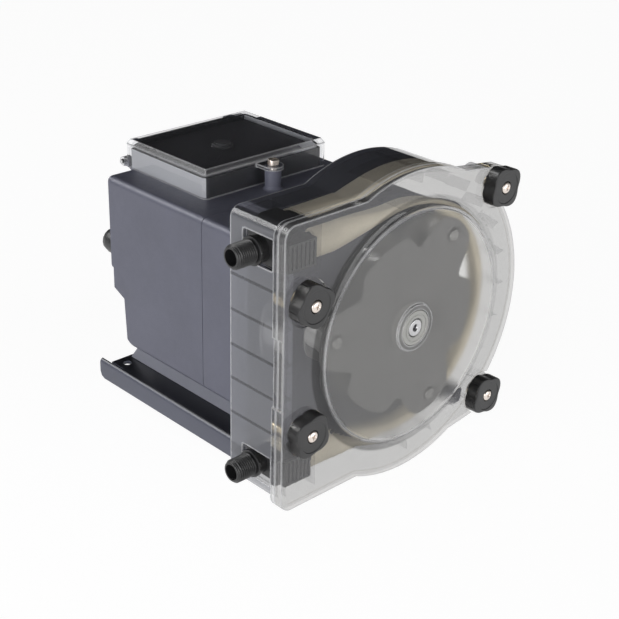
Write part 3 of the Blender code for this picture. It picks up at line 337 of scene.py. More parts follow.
def window_masks(n, dx, radius):
    """The flat face of the round window, and the sloping ring that surrounds it, weighted towards the
    left, where its painted shade is darkest.
    """
    face = n.span(radius, over=mm(WINDOW_R - 2.0, WINDOW_R - 0.5), to=(1.0, 0.0))
    ring = n.times(n.span(radius, over=mm(WINDOW_R - 0.6, WINDOW_R + 0.6)),
                   n.span(radius, over=mm(WINDOW_BASE_R + 0.8, WINDOW_BASE_R + 2.2), to=(1.0, 0.0)))
    return face, n.times(ring, n.span(dx, over=mm(-25.0, 45.0), to=(1.0, 0.35)))


def wall_masks(n, point, dx, dz, radius):
    """The outer walls behind the flange, and bars of painted shade where the level ribs stand behind
    the left wall.
    """
    walls = n.times(n.span(radius, over=mm(70.6, 73.0)),
                    n.span(point[1], over=mm(JOINT_Y - 34.5, JOINT_Y - 33.9)))
    painted_rib_shade = None
    for z in SIDE_RIBS:
        bar = n.span(n.math("ABSOLUTE", n.minus(dz, z * MM)), over=mm(0.5, 1.2), to=(1.0, 0.0))
        painted_rib_shade = bar if painted_rib_shade is None else n.plus(painted_rib_shade, bar)
    leftmost = n.span(dx, over=mm(-81.5, -80.0), to=(1.0, 0.0))
    return walls, n.times(n.times(painted_rib_shade, walls), leftmost)


def calm_window_rim(n, rim, point, radius):
    """Fades the painted edge highlights round the knob recesses and at the foot of the sloping ring.
    """
    for x, z in KNOBS.values():
        distance = from_line(n, point, (x + SHIFT.x / MM) * MM, (z + SHIFT.z / MM) * MM)[2]
        rim = n.times(rim, n.span(distance, over=mm(14.6, 16.6), to=(0.10, 1.0)))
    foot = n.times(n.span(radius, over=mm(WINDOW_R + 0.8, WINDOW_R + 1.6)),
                   n.span(radius, over=mm(WINDOW_BASE_R + 0.5, WINDOW_BASE_R + 1.5),
                          to=(0.95, 0.0)))
    return n.times(rim, n.minus(1.0, foot))


def clear(name, tint, through, veil, veil_colour, scratch=0.5, window=False, wall_tint=None):
    """Transparent moulding. Sight is bent and reflected as by plastic; shadow, diffuse and
    glossy rays pass straight, as through a film of colour `through`. A thin diffuse veil stands
    for haze, dust and fine scratches. Painted highlights lie on the rounded edges, painted
    shade darkens the window's sloping ring, the hub boss and the ribs behind the left wall, and
    the veil is painted thicker on the sides than on the top."""
    ior = 1.45
    satin = 0.32            # roughness added on the window's face
    milk = 0.52             # strongest veil on the window's face
    n = material_nodes(name)
    flow = n.noise(scale=26.0)
    dust = n.noise(scale=1500.0, rough=0.7)
    lines = n.noise(scale=240.0, detail=4, rough=0.7, stretch=(1.0, 1.0, 16.0))
    relief = n.bump(flow, strength=0.12, distance=0.0006)
    rough = n.plus(0.02, n.span(lines, over=(0.62, 0.75), to=(0.0, 0.10 * scratch)))
    film = n.mix(n.span(flow, over=(0.3, 0.7)), scaled(tint, 0.985), scaled(tint, 1.015))
    if window or wall_tint:
        point = n.xyz(n.position)
        dx, dz, radius = from_line(n, point, SHAFT_X * MM, SHAFT_Z * MM)
    if window:
        face, ring = window_masks(n, dx, radius)
        rough = n.plus(rough, n.times(face, satin))
        film = n.mix(face, film, (0.950, 0.947, 0.940))
        # painted shade: the sloping ring round the window is darkened, most on the left
        film = n.mix(ring, film, (0.28, 0.28, 0.28))
        # painted shade: a darker ring round the hub boss
        painted_boss_shade = n.times(n.span(radius, over=mm(9.8, 10.6)),
                       n.span(radius, over=mm(12.8, 15.0), to=(1.0, 0.0)))
        film = n.mix(painted_boss_shade, film, (0.62, 0.62, 0.62))
    if wall_tint:           # the thick outer walls let less light through than the thin flange
        walls, painted_rib_shade = wall_masks(n, point, dx, dz, radius)
        film = n.mix(walls, film, wall_tint)
        # painted shade: dark bars where the level ribs stand behind the left wall
        film = n.mix(painted_rib_shade, film, scaled(wall_tint, 0.45))

    refraction = n.get("BsdfRefraction",
                       {"Color": film, "Roughness": rough, "IOR": ior, "Normal": relief})
    gloss = n.get("BsdfGlossy", {"Color": (1, 1, 1), "Roughness": rough, "Normal": relief})
    fresnel = n.get("Fresnel", {"IOR": ior, "Normal": relief})
    plastic = n.mix_shader(fresnel, refraction, gloss)

    haze = n.plus(veil * 0.9, n.span(dust, over=(0.5, 0.75), to=(0.0, veil * 0.25)))
    hue = n.mix(0.0, veil_colour, veil_colour)
    if window:              # the face is milky, most of all on the left
        milky = n.times(face, n.span(dx, over=mm(-15.0, 38.0), to=(milk, milk * 0.22)))
        haze = n.plus(n.times(haze, n.minus(1.0, face)), milky)
        # less veil on the ring keeps its painted shade dark
        haze = n.times(haze, n.minus(1.0, n.times(ring, 0.75)))
        hue = n.mix(face, hue, (0.31, 0.31, 0.308))
    if wall_tint:           # painted light and shade: the veil is thicker on the side walls and thinner on the top and on the rib bars
        upward = n.xyz(n.normal())[2]
        painted_light_haze = n.span(upward, over=(0.3, 0.8), to=(0.24, -0.08))
        haze = n.plus(haze, n.times(walls, painted_light_haze))
        haze = n.times(haze, n.minus(1.0, n.times(painted_rib_shade, 0.6)))
    # painted highlights: pale lines drawn on the rounded corners
    rim = n.edge(radius=0.0018, over=(0.012, 0.14))     # rounded corners read as pale lines
    if window:
        rim = calm_window_rim(n, rim, point, radius)
    haze = n.plus(haze, n.times(rim, 0.62))
    veil_shader = n.get("BsdfDiffuse", {"Color": n.mix(rim, hue, (0.78, 0.78, 0.80))})
    seen = n.mix_shader(haze, plastic, veil_shader)

    ray = n.node("LightPath").outputs
    straight = n.math("MAXIMUM", ray["Is Shadow Ray"], ray["Is Diffuse Ray"])
    straight = n.math("MAXIMUM", straight, ray["Is Glossy Ray"])
    return n.finish(n.mix_shader(straight, seen, n.get("BsdfTransparent", {"Color": through})))


# ------------------------------------------------------------------ which node wears what
MATERIAL_OF = {}
ROLLERS = "123"


def wear(material, *nodes):
    for node in nodes:
        MATERIAL_OF[node] = material


def each(prefix, keys):
    return [prefix + key for key in keys]


wear(clear("smoke_cover", tint=(0.900, 0.898, 0.895), through=(0.95, 0.945, 0.935),
           veil=0.33, veil_colour=(0.35, 0.35, 0.36), window=True), "front_cover")
wear(clear("smoke_body", tint=(0.915, 0.915, 0.917), through=(0.90, 0.90, 0.90),
           veil=0.16, veil_colour=(0.44, 0.45, 0.49), wall_tint=(0.60, 0.60, 0.61)), "head_body")
wear(clear("clear_lid", tint=(0.93, 0.932, 0.937), through=(0.94, 0.94, 0.945),
           veil=0.045, veil_colour=(0.62, 0.64, 0.68), scratch=0.3), "clear_lid")
wear(moulded("slate_plastic", (0.124, 0.128, 0.170), rough=0.42, rubbed=0.3),
     "housing_front", "housing_rear", "rear_cover")
wear(moulded("foot_plastic", (0.200, 0.206, 0.245), rough=0.42, rubbed=0.3), "mounting_foot")
wear(powder("painted_steel", (0.092, 0.098, 0.133)), "mounting_bracket")
wear(moulded("black_nylon", (0.020, 0.020, 0.021), rough=0.38, drift=0.15, rubbed=0.5),
     "inlet_fitting", "outlet_fitting", "power_gland", "signal_gland")
# painted shade: the knobs' faces turned to +x and -x are painted darker
wear(moulded("knob_black", (0.032, 0.032, 0.033), rough=0.36, drift=0.12, grain=3200,
             rubbed=0.5, sides=(0.010, 0.010, 0.011)), *each("knob_", KNOBS))
wear(moulded("panel_black", (0.052, 0.050, 0.060), rough=0.4, rubbed=0.2), "control_panel")
wear(moulded("dial_grey", (0.085, 0.085, 0.090), rough=0.35, rubbed=0.6), "speed_dial")
# painted light: the box's faces turned to +x and -x are painted pale grey, the others near black
wear(moulded("box_plastic", (0.016, 0.016, 0.020), rough=0.20, rubbed=0.5,
             sides=(0.54, 0.55, 0.58)), "control_box")
wear(metal("pin_steel", (0.24, 0.24, 0.24), rough=0.42),
     *each("roller_pin_", ROLLERS), *each("rotor_spacer_", ROLLERS))
wear(moulded("rotor_grey", (0.200, 0.200, 0.203), rough=0.5, drift=0.05, rubbed=0.2),
     "rotor_front_plate", "rotor_rear_plate")
wear(moulded("hub_grey", (0.34, 0.34, 0.34), rough=0.4, drift=0.05, rubbed=0.2), "rotor_hub")
wear(moulded("roller_nylon", (0.33, 0.33, 0.33), rough=0.4, drift=0.05, rubbed=0.2),
     *each("roller_", ROLLERS))
wear(moulded("white_acetal", (0.46, 0.46, 0.44), rough=0.32, drift=0.05, grain_depth=0.00002,
             rubbed=0.0), "hub_bushing")
wear(moulded("gear_acetal", (0.60, 0.58, 0.52), rough=0.4, drift=0.06),
     "drive_gear", "idler_gear")
wear(elastomer("beige_elastomer", (0.80, 0.73, 0.58)), "squeeze_tube")
wear(metal("steel", (0.56, 0.56, 0.57), rough=0.24),
     "output_shaft", "idler_shaft", "motor_shaft", "motor_rotor", "hinge_pin")
wear(metal("screw_steel", (0.80, 0.72, 0.66), rough=0.28, stretch=(1, 1, 1), grain=1400),
     "lid_screw", "rear_screw_left", "rear_screw_right", *each("knob_screw_", KNOBS))
wear(metal("zinc_plate", (0.52, 0.52, 0.50), rough=0.36, stretch=(1, 1, 1), grain=420),
     "gearbox_plate", "motor_end_bearing", "foot_bolt_left", "foot_bolt_right")
wear(metal("brass", (0.62, 0.53, 0.36), rough=0.26),
     "shaft_bearing_front", *each("cover_insert_", KNOBS))
wear(lamination("motor_iron"), "motor_stator")


# ================================================================== mesh kit (mm in, metres out)
WORK = bpy.data.collections.new("work")
bpy.context.scene.collection.children.link(WORK)


def add(data):
    ob = bpy.data.objects.new("part", data)
    WORK.objects.link(ob)
    return ob


def add_bmesh(bm):
    mesh = bpy.data.meshes.new("part")
    bm.to_mesh(mesh)
    bm.free()
    return add(mesh)


def settle(ob, weld=0.000008):
    """Applies the modifiers and the placement, and welds the result."""
    bpy.context.view_layer.update()
    depsgraph = bpy.context.evaluated_depsgraph_get()
    mesh = bpy.data.meshes.new_from_object(ob.evaluated_get(depsgraph), depsgraph=depsgraph)
    mesh.transform(ob.matrix_world)
    bpy.data.objects.remove(ob, do_unlink=True)
    bm = bmesh.new()
    bm.from_mesh(mesh)
    bmesh.ops.remove_doubles(bm, verts=bm.verts, dist=weld)
    bmesh.ops.dissolve_degenerate(bm, edges=bm.edges, dist=0.000001)
    bmesh.ops.recalc_face_normals(bm, faces=bm.faces)
    bm.to_mesh(mesh)
    bm.free()
    return add(mesh)


def box(lo, hi, bevel=0.0, segments=3, along="XYZ"):
    """Box between two corners, with the edges that run along the given axes rounded."""
    bm = bmesh.new()
    bmesh.ops.create_cube(bm, size=1.0)
    bmesh.ops.scale(bm, vec=[(hi[i] - lo[i]) * MM for i in range(3)], verts=bm.verts)
    bmesh.ops.translate(bm, vec=[(hi[i] + lo[i]) * 0.5 * MM for i in range(3)], verts=bm.verts)
    if bevel > 0:
        picked = []
        for edge in bm.edges:
            run = edge.verts[1].co - edge.verts[0].co
            if "XYZ"[max(range(3), key=lambda k: abs(run[k]))] in along:
                picked.append(edge)
        bmesh.ops.bevel(bm, geom=picked, offset=bevel * MM, segments=segments, profile=0.5,
                        affect="EDGES")
    return add_bmesh(bm)


def turned(axis, centre, profile, segments=64):
    """Turned solid. Profile points are (radius, place along the axis)."""
    points = [(r * MM, 0.0, a * MM) for r, a in profile]
    edges = [(i, i + 1) for i in range(len(points) - 1)]
    if profile[0][0] > 1e-6:            # a profile that starts off the axis is a closed ring
        edges.append((len(points) - 1, 0))
    mesh = bpy.data.meshes.new("part")
    mesh.from_pydata(points, edges, [])
    ob = add(mesh)
    screw = ob.modifiers.new("Screw", "SCREW")
    screw.axis = "Z"
    screw.angle = math.tau
    screw.steps = screw.render_steps = segments
    screw.use_merge_vertices = True
    screw.merge_threshold = 0.00001
    u, v = centre
    place, turn = {"X": ((0, u, v), Matrix.Rotation(math.radians(90.0), 4, "Y")),
                   "Y": ((u, 0, v), Matrix.Rotation(math.radians(-90.0), 4, "X")),
                   "Z": ((u, v, 0), Matrix.Identity(4))}[axis]
    ob.matrix_world = Matrix.Translation(Vector(place) * MM) @ turn
    return settle(ob)


def rod(axis, centre, r, start, end, segments=48):
    return turned(axis, centre, [(0, start), (r, start), (r, end), (0, end)], segments)


def plate(axis, loops, start, end):
    """Flat outlines (the first solid, those inside it holes) drawn out along an axis."""
    curve = bpy.data.curves.new("part", "CURVE")
    curve.dimensions = "2D"
    curve.fill_mode = "BOTH"
    curve.extrude = abs(end - start) * 0.5 * MM
    for loop in loops:
        spline = curve.splines.new("POLY")
        spline.points.add(len(loop) - 1)
        for i, (u, v) in enumerate(loop):
            spline.points[i].co = (u * MM, v * MM, 0.0, 1.0)
        spline.use_cyclic_u = True
    ob = add(curve)
    middle = (start + end) * 0.5 * MM
    if axis == "Y":
        ob.matrix_world = (Matrix.Translation((0, middle, 0))
                           @ Matrix.Rotation(math.radians(90), 4, "X"))
    elif axis == "X":
        ob.matrix_world = (Matrix.Translation((middle, 0, 0))
                           @ Matrix(((0, 0, 1, 0), (1, 0, 0, 0), (0, 1, 0, 0), (0, 0, 0, 1))))
    else:
        ob.matrix_world = Matrix.Translation((0, 0, middle))
    return settle(ob)


def lofted(rings):
    """Closed skin over rings of equally many points; the last ring joins the first."""
    bm = bmesh.new()
    rows = [[bm.verts.new(Vector(point) * MM) for point in ring] for ring in rings]
    for a, b in zip(rows, rows[1:] + rows[:1]):
        for i in range(len(a)):
            j = (i + 1) % len(a)
            bm.faces.new((a[i], a[j], b[j], b[i]))
    bmesh.ops.recalc_face_normals(bm, faces=bm.faces)
    return add_bmesh(bm)


def arc(u, v, r, start, end, steps):
    """Points on an arc, angles in degrees."""
    return [(u + r * math.cos(math.radians(start + (end - start) * i / steps)),
             v + r * math.sin(math.radians(start + (end - start) * i / steps)))
            for i in range(steps + 1)]


def circle(u, v, r, count=48):
    return [(u + r * math.cos(math.tau * i / count), v + r * math.sin(math.tau * i / count))
            for i in range(count)]


def rounded_rectangle(u0, u1, v0, v1, r, steps):
    return (arc(u1 - r, v1 - r, r, 0, 90, steps) + arc(u0 + r, v1 - r, r, 90, 180, steps)
            + arc(u0 + r, v0 + r, r, 180, 270, steps) + arc(u1 - r, v0 + r, r, 270, 360, steps))


def combine(ob, others, operation):
    for other in others:
        boolean = ob.modifiers.new(operation, "BOOLEAN")
        boolean.operation = operation
        boolean.solver = "EXACT"
        boolean.object = other
        ob = settle(ob, 0.000004)
        bpy.data.objects.remove(other, do_unlink=True)
    return ob


def cut(ob, *others):
    return combine(ob, others, "DIFFERENCE")


def fuse(ob, *others):
    return combine(ob, others, "UNION")


def merged(obs):
    """Several meshes as one object, without a boolean."""
    bm = bmesh.new()
    for ob in obs:
        bm.from_mesh(ob.data)
        bpy.data.objects.remove(ob, do_unlink=True)
    return add_bmesh(bm)


def turn_and_move(ob, angle, axis, place):
    ob.data.transform(Matrix.Translation(Vector(place) * MM) @ Matrix.Rotation(angle, 4, axis))
    return ob


def dress(ob, material):
    ob.data.materials.clear()
    ob.data.materials.append(material)
    for polygon in ob.data.polygons:
        polygon.use_smooth = True
        polygon.material_index = 0


def round_edges(ob, width, segments=2, angle=32.0):
    bevel = ob.modifiers.new("Round", "BEVEL")
    bevel.width = width * MM
    bevel.segments = segments
    bevel.limit_method = "ANGLE"
    bevel.angle_limit = math.radians(angle)
    bevel.use_clamp_overlap = True
    return bevel


def piece(ob, node, width=0.3, segments=2, angle=32.0):
    """Places a piece in the frame, rounds it, and lets it ride and stand for its CAD node."""
    ob.data.transform(Matrix.Translation(SHIFT))
    ob.name = "look_" + node
    dress(ob, MATERIAL_OF[node])
    ob.data.set_sharp_from_angle(angle=math.radians(angle))
    if width > 0:
        bevel = round_edges(ob, width, segments, angle)
        bevel.harden_normals = True
        bevel.miter_outer = "MITER_ARC"
    ob.modifiers.new("Even", "WEIGHTED_NORMAL").keep_sharp = True
    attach(ob, BODY_OF[node])
    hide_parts(node)


# ================================================================== pump head
def tangent_angle(u, v, r, point, side):
    """Angle on a circle where the tangent through a point touches it."""
    reach = math.hypot(point[0] - u, point[1] - v)
    return math.degrees(math.atan2(point[1] - v, point[0] - u) + side * math.acos(r / reach))


def head_loop(left, half_h, r, corner, lugs=False):
    """Outline in x and z: two rounded left corners, then the disc, with or without knob lugs."""
    steps = 150
    points = arc(left + corner, AXIS_Z + half_h - corner, corner, 90, 180, 12)
    points += arc(left + corner, AXIS_Z - half_h + corner, corner, 180, 270, 12)
    start = -(180.0 - math.degrees(math.asin(half_h / r)))
    if not lugs:
        return points + arc(0.0, AXIS_Z, r, start, -start, steps)
    x, z = KNOB_RIGHT
    low, high = LUG_SPAN
    low_point, high_point = [(r * math.cos(math.radians(a)), r * math.sin(math.radians(a)))
                             for a in LUG_SPAN]
    touch_low = tangent_angle(x, z, LUG_R, low_point, 1.0)
    touch_high = tangent_angle(x, z, LUG_R, high_point, -1.0)
    outer_steps = int(steps * 0.22)
    points += arc(0.0, AXIS_Z, r, start, -high, outer_steps)
    points += arc(x, AXIS_Z - z, LUG_R, -touch_high, -touch_low, 16)
    points += arc(0.0, AXIS_Z, r, -low, low, int(steps * 0.32))
    points += arc(x, AXIS_Z + z, LUG_R, touch_low, touch_high, 16)
    points += arc(0.0, AXIS_Z, r, high, -start, outer_steps)
    return points


def edge_notch(front, back):
    """Cutter for the shallow notch in the left edge of flange and cover."""
    return box((FLANGE_LEFT - 2.0, front, AXIS_Z - NOTCH_HALF_H),
               (FLANGE_LEFT + NOTCH_DEPTH, back, AXIS_Z + NOTCH_HALF_H), 0.9, 3, "Y")


def body_shell():
    outer = plate("Y", [head_loop(BODY_LEFT, BODY_HALF_H, BODY_R, BODY_CORNER)],
                  FLANGE_FRONT + 0.4, -0.08)
    flange = plate("Y", [head_loop(FLANGE_LEFT, FLANGE_HALF_H, FLANGE_R, FLANGE_CORNER, True)],
                   FLANGE_FRONT, FLANGE_BACK)
    hollow = plate("Y", [head_loop(BODY_LEFT + BODY_WALL, BODY_HALF_H - BODY_WALL,
                                   BODY_R - BODY_WALL, BODY_CORNER - 2.0)],
                   FLANGE_FRONT - 2.0, -BODY_BACK)
    return cut(fuse(outer, flange), hollow)


def radial_rib(degrees):
    """Rib between the track and the round wall."""
    angle = math.radians(degrees)
    inner, outer, half = RIB_START, BODY_R - BODY_WALL + 0.6, RIB_T * 0.5
    c, s = math.cos(angle), math.sin(angle)
    return plate("Y", [[(inner * c + half * s, AXIS_Z + inner * s - half * c),
                        (outer * c + half * s, AXIS_Z + outer * s - half * c),
                        (outer * c - half * s, AXIS_Z + outer * s + half * c),
                        (inner * c - half * s, AXIS_Z + inner * s + half * c)]],
                 -33.0, IN_BODY_BACK)


def side_rib(z):
    return box((BODY_LEFT + BODY_WALL - 0.6, -34.0, AXIS_Z + z - 0.8),
               (-81.5, IN_BODY_BACK, AXIS_Z + z + 0.8))


def port_pocket(side):
    """Angled wall round a port's block: level towards the left wall, upright at its inner end."""
    za, zb = sorted((AXIS_Z + side * 49.0, AXIS_Z + side * (BODY_HALF_H - BODY_WALL + 0.6)))
    zd, ze = sorted((AXIS_Z + side * 49.0, AXIS_Z + side * 50.8))
    left, wall_left, wall_right = -87.0, -66.0, -64.0
    return plate("Y", [[(left, zd), (wall_left, zd), (wall_left, za), (wall_right, za),
                        (wall_right, zb), (wall_left, zb), (wall_left, ze), (left, ze)]],
                 -36.0, IN_BODY_BACK)


def knob_post(place):
    if place[0] < 0:
        return rod("Y", place, 6.4, FLANGE_FRONT, IN_BODY_BACK, 40)
    return rod("Y", place, 7.4, -36.0, -22.0, 40)


def port_slot(side):
    """Cutter for the opening in the left wall at a port."""
    z0, z1 = sorted((AXIS_Z + side * 52.5, AXIS_Z + side * 69.0))
    return box((-96.0, -31.4, z0), (-85.0, -9.6, z1), 1.0, 3, "X")


def head_body():
    track = (arc(0, AXIS_Z, TRACK_R + TRACK_WALL, -97, 97, 110)
             + arc(0, AXIS_Z, TRACK_R, 97, -97, 110))
    ob = fuse(body_shell(),
              plate("Y", [track], -35.5, IN_BODY_BACK),
              merged([radial_rib(-84.0 + 14.0 * k) for k in range(13)]),
              merged([side_rib(z) for z in SIDE_RIBS]),
              merged([port_pocket(side) for side in (1, -1)]),
              merged([knob_post(place) for place in KNOBS.values()]))
    holes = [rod("Y", place, 4.0, FLANGE_FRONT - 3.0, -27.5, 32) for place in KNOBS.values()]
    holes += [rod("X", (PORT_Y, AXIS_Z + side * PORT_Z), 7.2, -70.0, -60.0, 40)
              for side in (1, -1)]
    holes.append(rod("Y", (0, AXIS_Z), SHAFT_HOLE_R, -8.0, 4.0))
    slots = [port_slot(side) for side in (1, -1)]
    slots.append(edge_notch(FLANGE_FRONT - 1.0, FLANGE_BACK + 1.0))
    return cut(ob, merged(holes), merged(slots))


def front_cover():
    axis = (0, AXIS_Z)
    ob = plate("Y", [head_loop(FLANGE_LEFT, FLANGE_HALF_H, FLANGE_R, FLANGE_CORNER, True)],
               COVER_FRONT, COVER_BACK)
    window = [(0, COVER_BACK - 1.4), (WINDOW_BASE_R, COVER_BACK - 1.4),
              (WINDOW_BASE_R, COVER_FRONT), (WINDOW_R + 1.2, WINDOW_FRONT + 0.25),
              (WINDOW_R, WINDOW_FRONT + 0.55), (WINDOW_R - 0.6, WINDOW_FRONT), (0, WINDOW_FRONT)]
    ob = fuse(ob, turned("Y", axis, window, 144))
    cover_hollow = plate("Y", [head_loop(FLANGE_LEFT + 2.6, FLANGE_HALF_H - 2.6, FLANGE_R - 2.6,
                                         FLANGE_CORNER - 2.0)],
                         COVER_FRONT + COVER_SKIN, COVER_BACK + 1.0)
    window_hollow = [(0, COVER_BACK + 1.0), (67.6, COVER_BACK + 1.0), (67.6, -41.4),
                     (64.2, -43.0), (0, -43.0)]
    ob = cut(ob, cover_hollow, turned("Y", axis, window_hollow, 144))
    bosses = [rod("Y", place, LEFT_BOSS_R if place[0] < 0 else LUG_R - 0.05,
                  COVER_FRONT + 0.5, COVER_BACK, 56) for place in KNOBS.values()]
    ob = fuse(ob, merged(bosses), rod("Y", axis, BOSS_R, BOSS_FRONT, -40.2, 72))
    recess = [(0, COVER_BACK + 2.0), (3.2, COVER_BACK + 2.0), (3.2, KNOB_SEAT),
              (RECESS_R, KNOB_SEAT), (RECESS_R, COVER_FRONT - 2.0), (0, COVER_FRONT - 2.0)]
    holes = [turned("Y", place, recess, 56) for place in KNOBS.values()]
    holes.append(rod("Y", axis, 10.3, BOSS_FRONT - 2.0, -38.0, 72))
    return cut(ob, merged(holes), edge_notch(COVER_FRONT + 1.1, COVER_BACK + 1.0))


piece(head_body(), "head_body", 0.45)
piece(front_cover(), "front_cover", 0.4)


# ------------------------------------------------------------------ knobs with their screws
def knob(x, z, turn):
    """Rounded square with hollow flats, a rounded front edge and a shallow dish in the face."""
    count, power = 112, 3.6
    front, back = KNOB_FRONT, KNOB_SEAT - 0.3

    def square(angle, inset):
        a = angle - turn + math.radians(45.0)
        r = KNOB_R * (abs(math.cos(a)) ** power + abs(math.sin(a)) ** power) ** (-1.0 / power)
        return r - (0.35 * max(0.0, math.cos(4.0 * a)) ** 2 + inset)

    def ring(radius_at, y):
        angles = [math.tau * i / count for i in range(count)]
        return [(x + radius_at(a) * math.cos(a), y, z + radius_at(a) * math.sin(a))
                for a in angles]

    # bore and dish: (radius, y)
    dish = ((3.7, back), (3.7, front + 0.6), (4.2, front + 0.35), (8.6, front + 0.35),
            (9.0, front))
    # outer side: (inset from the full square, depth behind the front)
    side = ((1.1, 0.0), (0.45, 0.12), (0.12, 0.45), (0.0, 1.1), (0.0, 7.2), (0.25, 7.9))
    rings = [ring(lambda a: radius, y) for radius, y in dish]
    rings += [ring(lambda a: square(a, inset), front + depth) for inset, depth in side]
    rings.append(ring(lambda a: square(a, 0.6), back))
    grooves = []
    for k in range(4):                      # two narrow grooves beside each corner
        for offset in (-9.0, 9.0):
            groove = box((11.95, front + 1.5, -0.22), (14.0, back + 1.0, 0.22))
            angle = turn + math.radians(90.0 * k + offset)
            grooves.append(turn_and_move(groove, -angle, "Y", (x, 0, z)))
    return cut(lofted(rings), merged(grooves))


def cross_screw(x, z):
    head_r, seat, top, end, shank_r = 3.3, -47.2, -49.9, -29.0, 1.9
    ob = turned("Y", (x, z), [
        (0, end), (shank_r - 0.5, end), (shank_r, end - 0.6), (shank_r, seat), (head_r, seat),
        (head_r, top + 1.3), (head_r - 0.25, top + 0.75), (head_r - 0.8, top + 0.28),
        (head_r * 0.4, top + 0.04), (0, top)], 56)
    arms = []
    for degrees in (20.0, 110.0):
        arm = box((-1.95, top - 1.0, -0.36), (1.95, top + 1.15, 0.36))
        for vertex in arm.data.vertices:    # the cross narrows towards its floor
            if vertex.co.y > (top + 0.5) * MM:
                vertex.co.x *= 0.5
                vertex.co.z *= 0.7
        arms.append(turn_and_move(arm, math.radians(degrees), "Y", (x, 0, z)))
    return cut(ob, *arms)


for key, place in KNOBS.items():
    piece(knob(*place, math.radians(KNOB_TURN[key])), "knob_" + key, 0.0)
    piece(cross_screw(*place), "knob_screw_" + key, 0.08, 1)


# ------------------------------------------------------------------ bushing and rotor plates
def hub_bushing():
    return turned("Y", (0, AXIS_Z), [
        (5.3, -46.8), (5.7, -47.25), (6.6, -47.4), (7.3, -47.4), (7.5, -47.05), (7.8, -47.05),
        (8.0, -47.4), (9.2, -47.4), (9.75, -47.2), (10.0, -46.8), (10.0, -40.4), (5.3, -40.4)], 96)


def smooth(t):
    return 3 * t * t - 2 * t * t * t


def rotor_loop(tip, small, notch):
    """Outline with a wide tip at each roller, a notch on both sides of it and an even rim."""
    points = []
    count = 360
    for i in range(count):
        a = 360.0 * i / count
        off = abs((a - ROLLER_ANGLES[0] + 60.0) % 120.0 - 60.0)     # degrees from the roller
        if off < 10:
            r = tip - 0.012 * off * off
        elif off < 29:
            r = (tip - 1.2) + (notch - tip + 1.2) * smooth((off - 10.0) / 19.0)
        elif off < 42:
            r = notch + (small - notch) * smooth((off - 29.0) / 13.0)
        else:
            r = small
        points.append((r * math.cos(math.radians(a)), AXIS_Z + r * math.sin(math.radians(a))))
    return points


def rotor_plate(tip, small, notch, front, back):
    loops = [rotor_loop(tip, small, notch), circle(0, AXIS_Z, 9.3)]
    for degrees in ROLLER_ANGLES:           # pin holes
        a = math.radians(degrees)
        loops.append(circle(ROLLER_C * math.cos(a), AXIS_Z + ROLLER_C * math.sin(a), 2.8, 24))
    return plate("Y", loops, front, back)


piece(hub_bushing(), "hub_bushing", 0.0)
piece(rotor_plate(62.2, 50.6, 43.4, -37.2, -34.7), "rotor_front_plate", 0.35)
piece(rotor_plate(60.0, 48.8, 42.0, -8.3, -6.3), "rotor_rear_plate", 0.3)


# ------------------------------------------------------------------ threaded nipples
def nipple_thread(z):
    """Sleeve with a helical thread that fades out at both ends."""
    pitch, rows_per_turn, segments = 1.27, 10, 72
    start, end = PORT_TIP + 0.6, -91.6
    root_r, height, inner_r = 5.62, 0.80, 5.2
    rows = int((end - start) / pitch * rows_per_turn)

    def ring(x, radius_at):
        return [(x, PORT_Y + radius_at(i) * math.cos(math.tau * i / segments),
                 z + radius_at(i) * math.sin(math.tau * i / segments)) for i in range(segments)]

    rings = []
    for k in range(rows + 1):
        x = start + (end - start) * k / rows
        fade = max(0.0, min(1.0, (x - start) / 0.8, (end - x) / 0.5))

        def thread_r(i):
            phase = (x / pitch - i / segments) % 1.0
            crest = max(0.0, 1.0 - abs(phase - 0.5) / 0.42)
            return root_r + height * min(1.0, crest * 1.12) * fade

        rings.append(ring(x, thread_r))
    rings += [ring(x, lambda i: inner_r) for x in (end, start)]
    return lofted(rings)


def nipple_block(z):
    """Square block in the port pocket, bored along x, with grooves across its front."""
    block = box((-85.5, BLOCK_FRONT, z - 7.6), (-66.6, PORT_Y + 9.3, z + 7.6), 0.7)
    grooves = [box((x, BLOCK_FRONT - 1.0, z - 6.2), (x + 1.1, BLOCK_FRONT + 1.6, z + 6.2))
               for x in (-83.2, -80.4, -77.6, -74.8, -72.0, -69.2)]
    return cut(block, merged(grooves), rod("X", (PORT_Y, z), 5.5, -90, -60, 40))


def nipple(side):
    """Hollow nipple with collar and barbs, its block and its thread."""
    z = AXIS_Z + side * PORT_Z
    ob = turned("X", (PORT_Y, z), [
        (4.3, PORT_TIP), (5.2, PORT_TIP), (5.6, PORT_TIP + 0.4), (5.6, -91.4), (7.4, -91.4),
        (7.6, -91.2), (7.6, -89.5), (7.4, -89.3), (7.0, -89.3), (7.0, -73.2), (6.4, -73.2),
        (6.4, -63.6), (5.0, -63.6), (5.0, -60.0), (5.5, -58.2), (5.0, -57.6), (5.0, -56.0),
        (5.5, -54.2), (5.0, -53.6), (5.0, -51.0), (4.5, -50.0), (3.6, -50.0), (3.6, -98.0),
        (4.3, -98.0)], 72)
    return fuse(ob, nipple_block(z), nipple_thread(z))


for key, side in (("inlet", 1), ("outlet", -1)):
    piece(nipple(side), key + "_fitting", 0.0, angle=50)


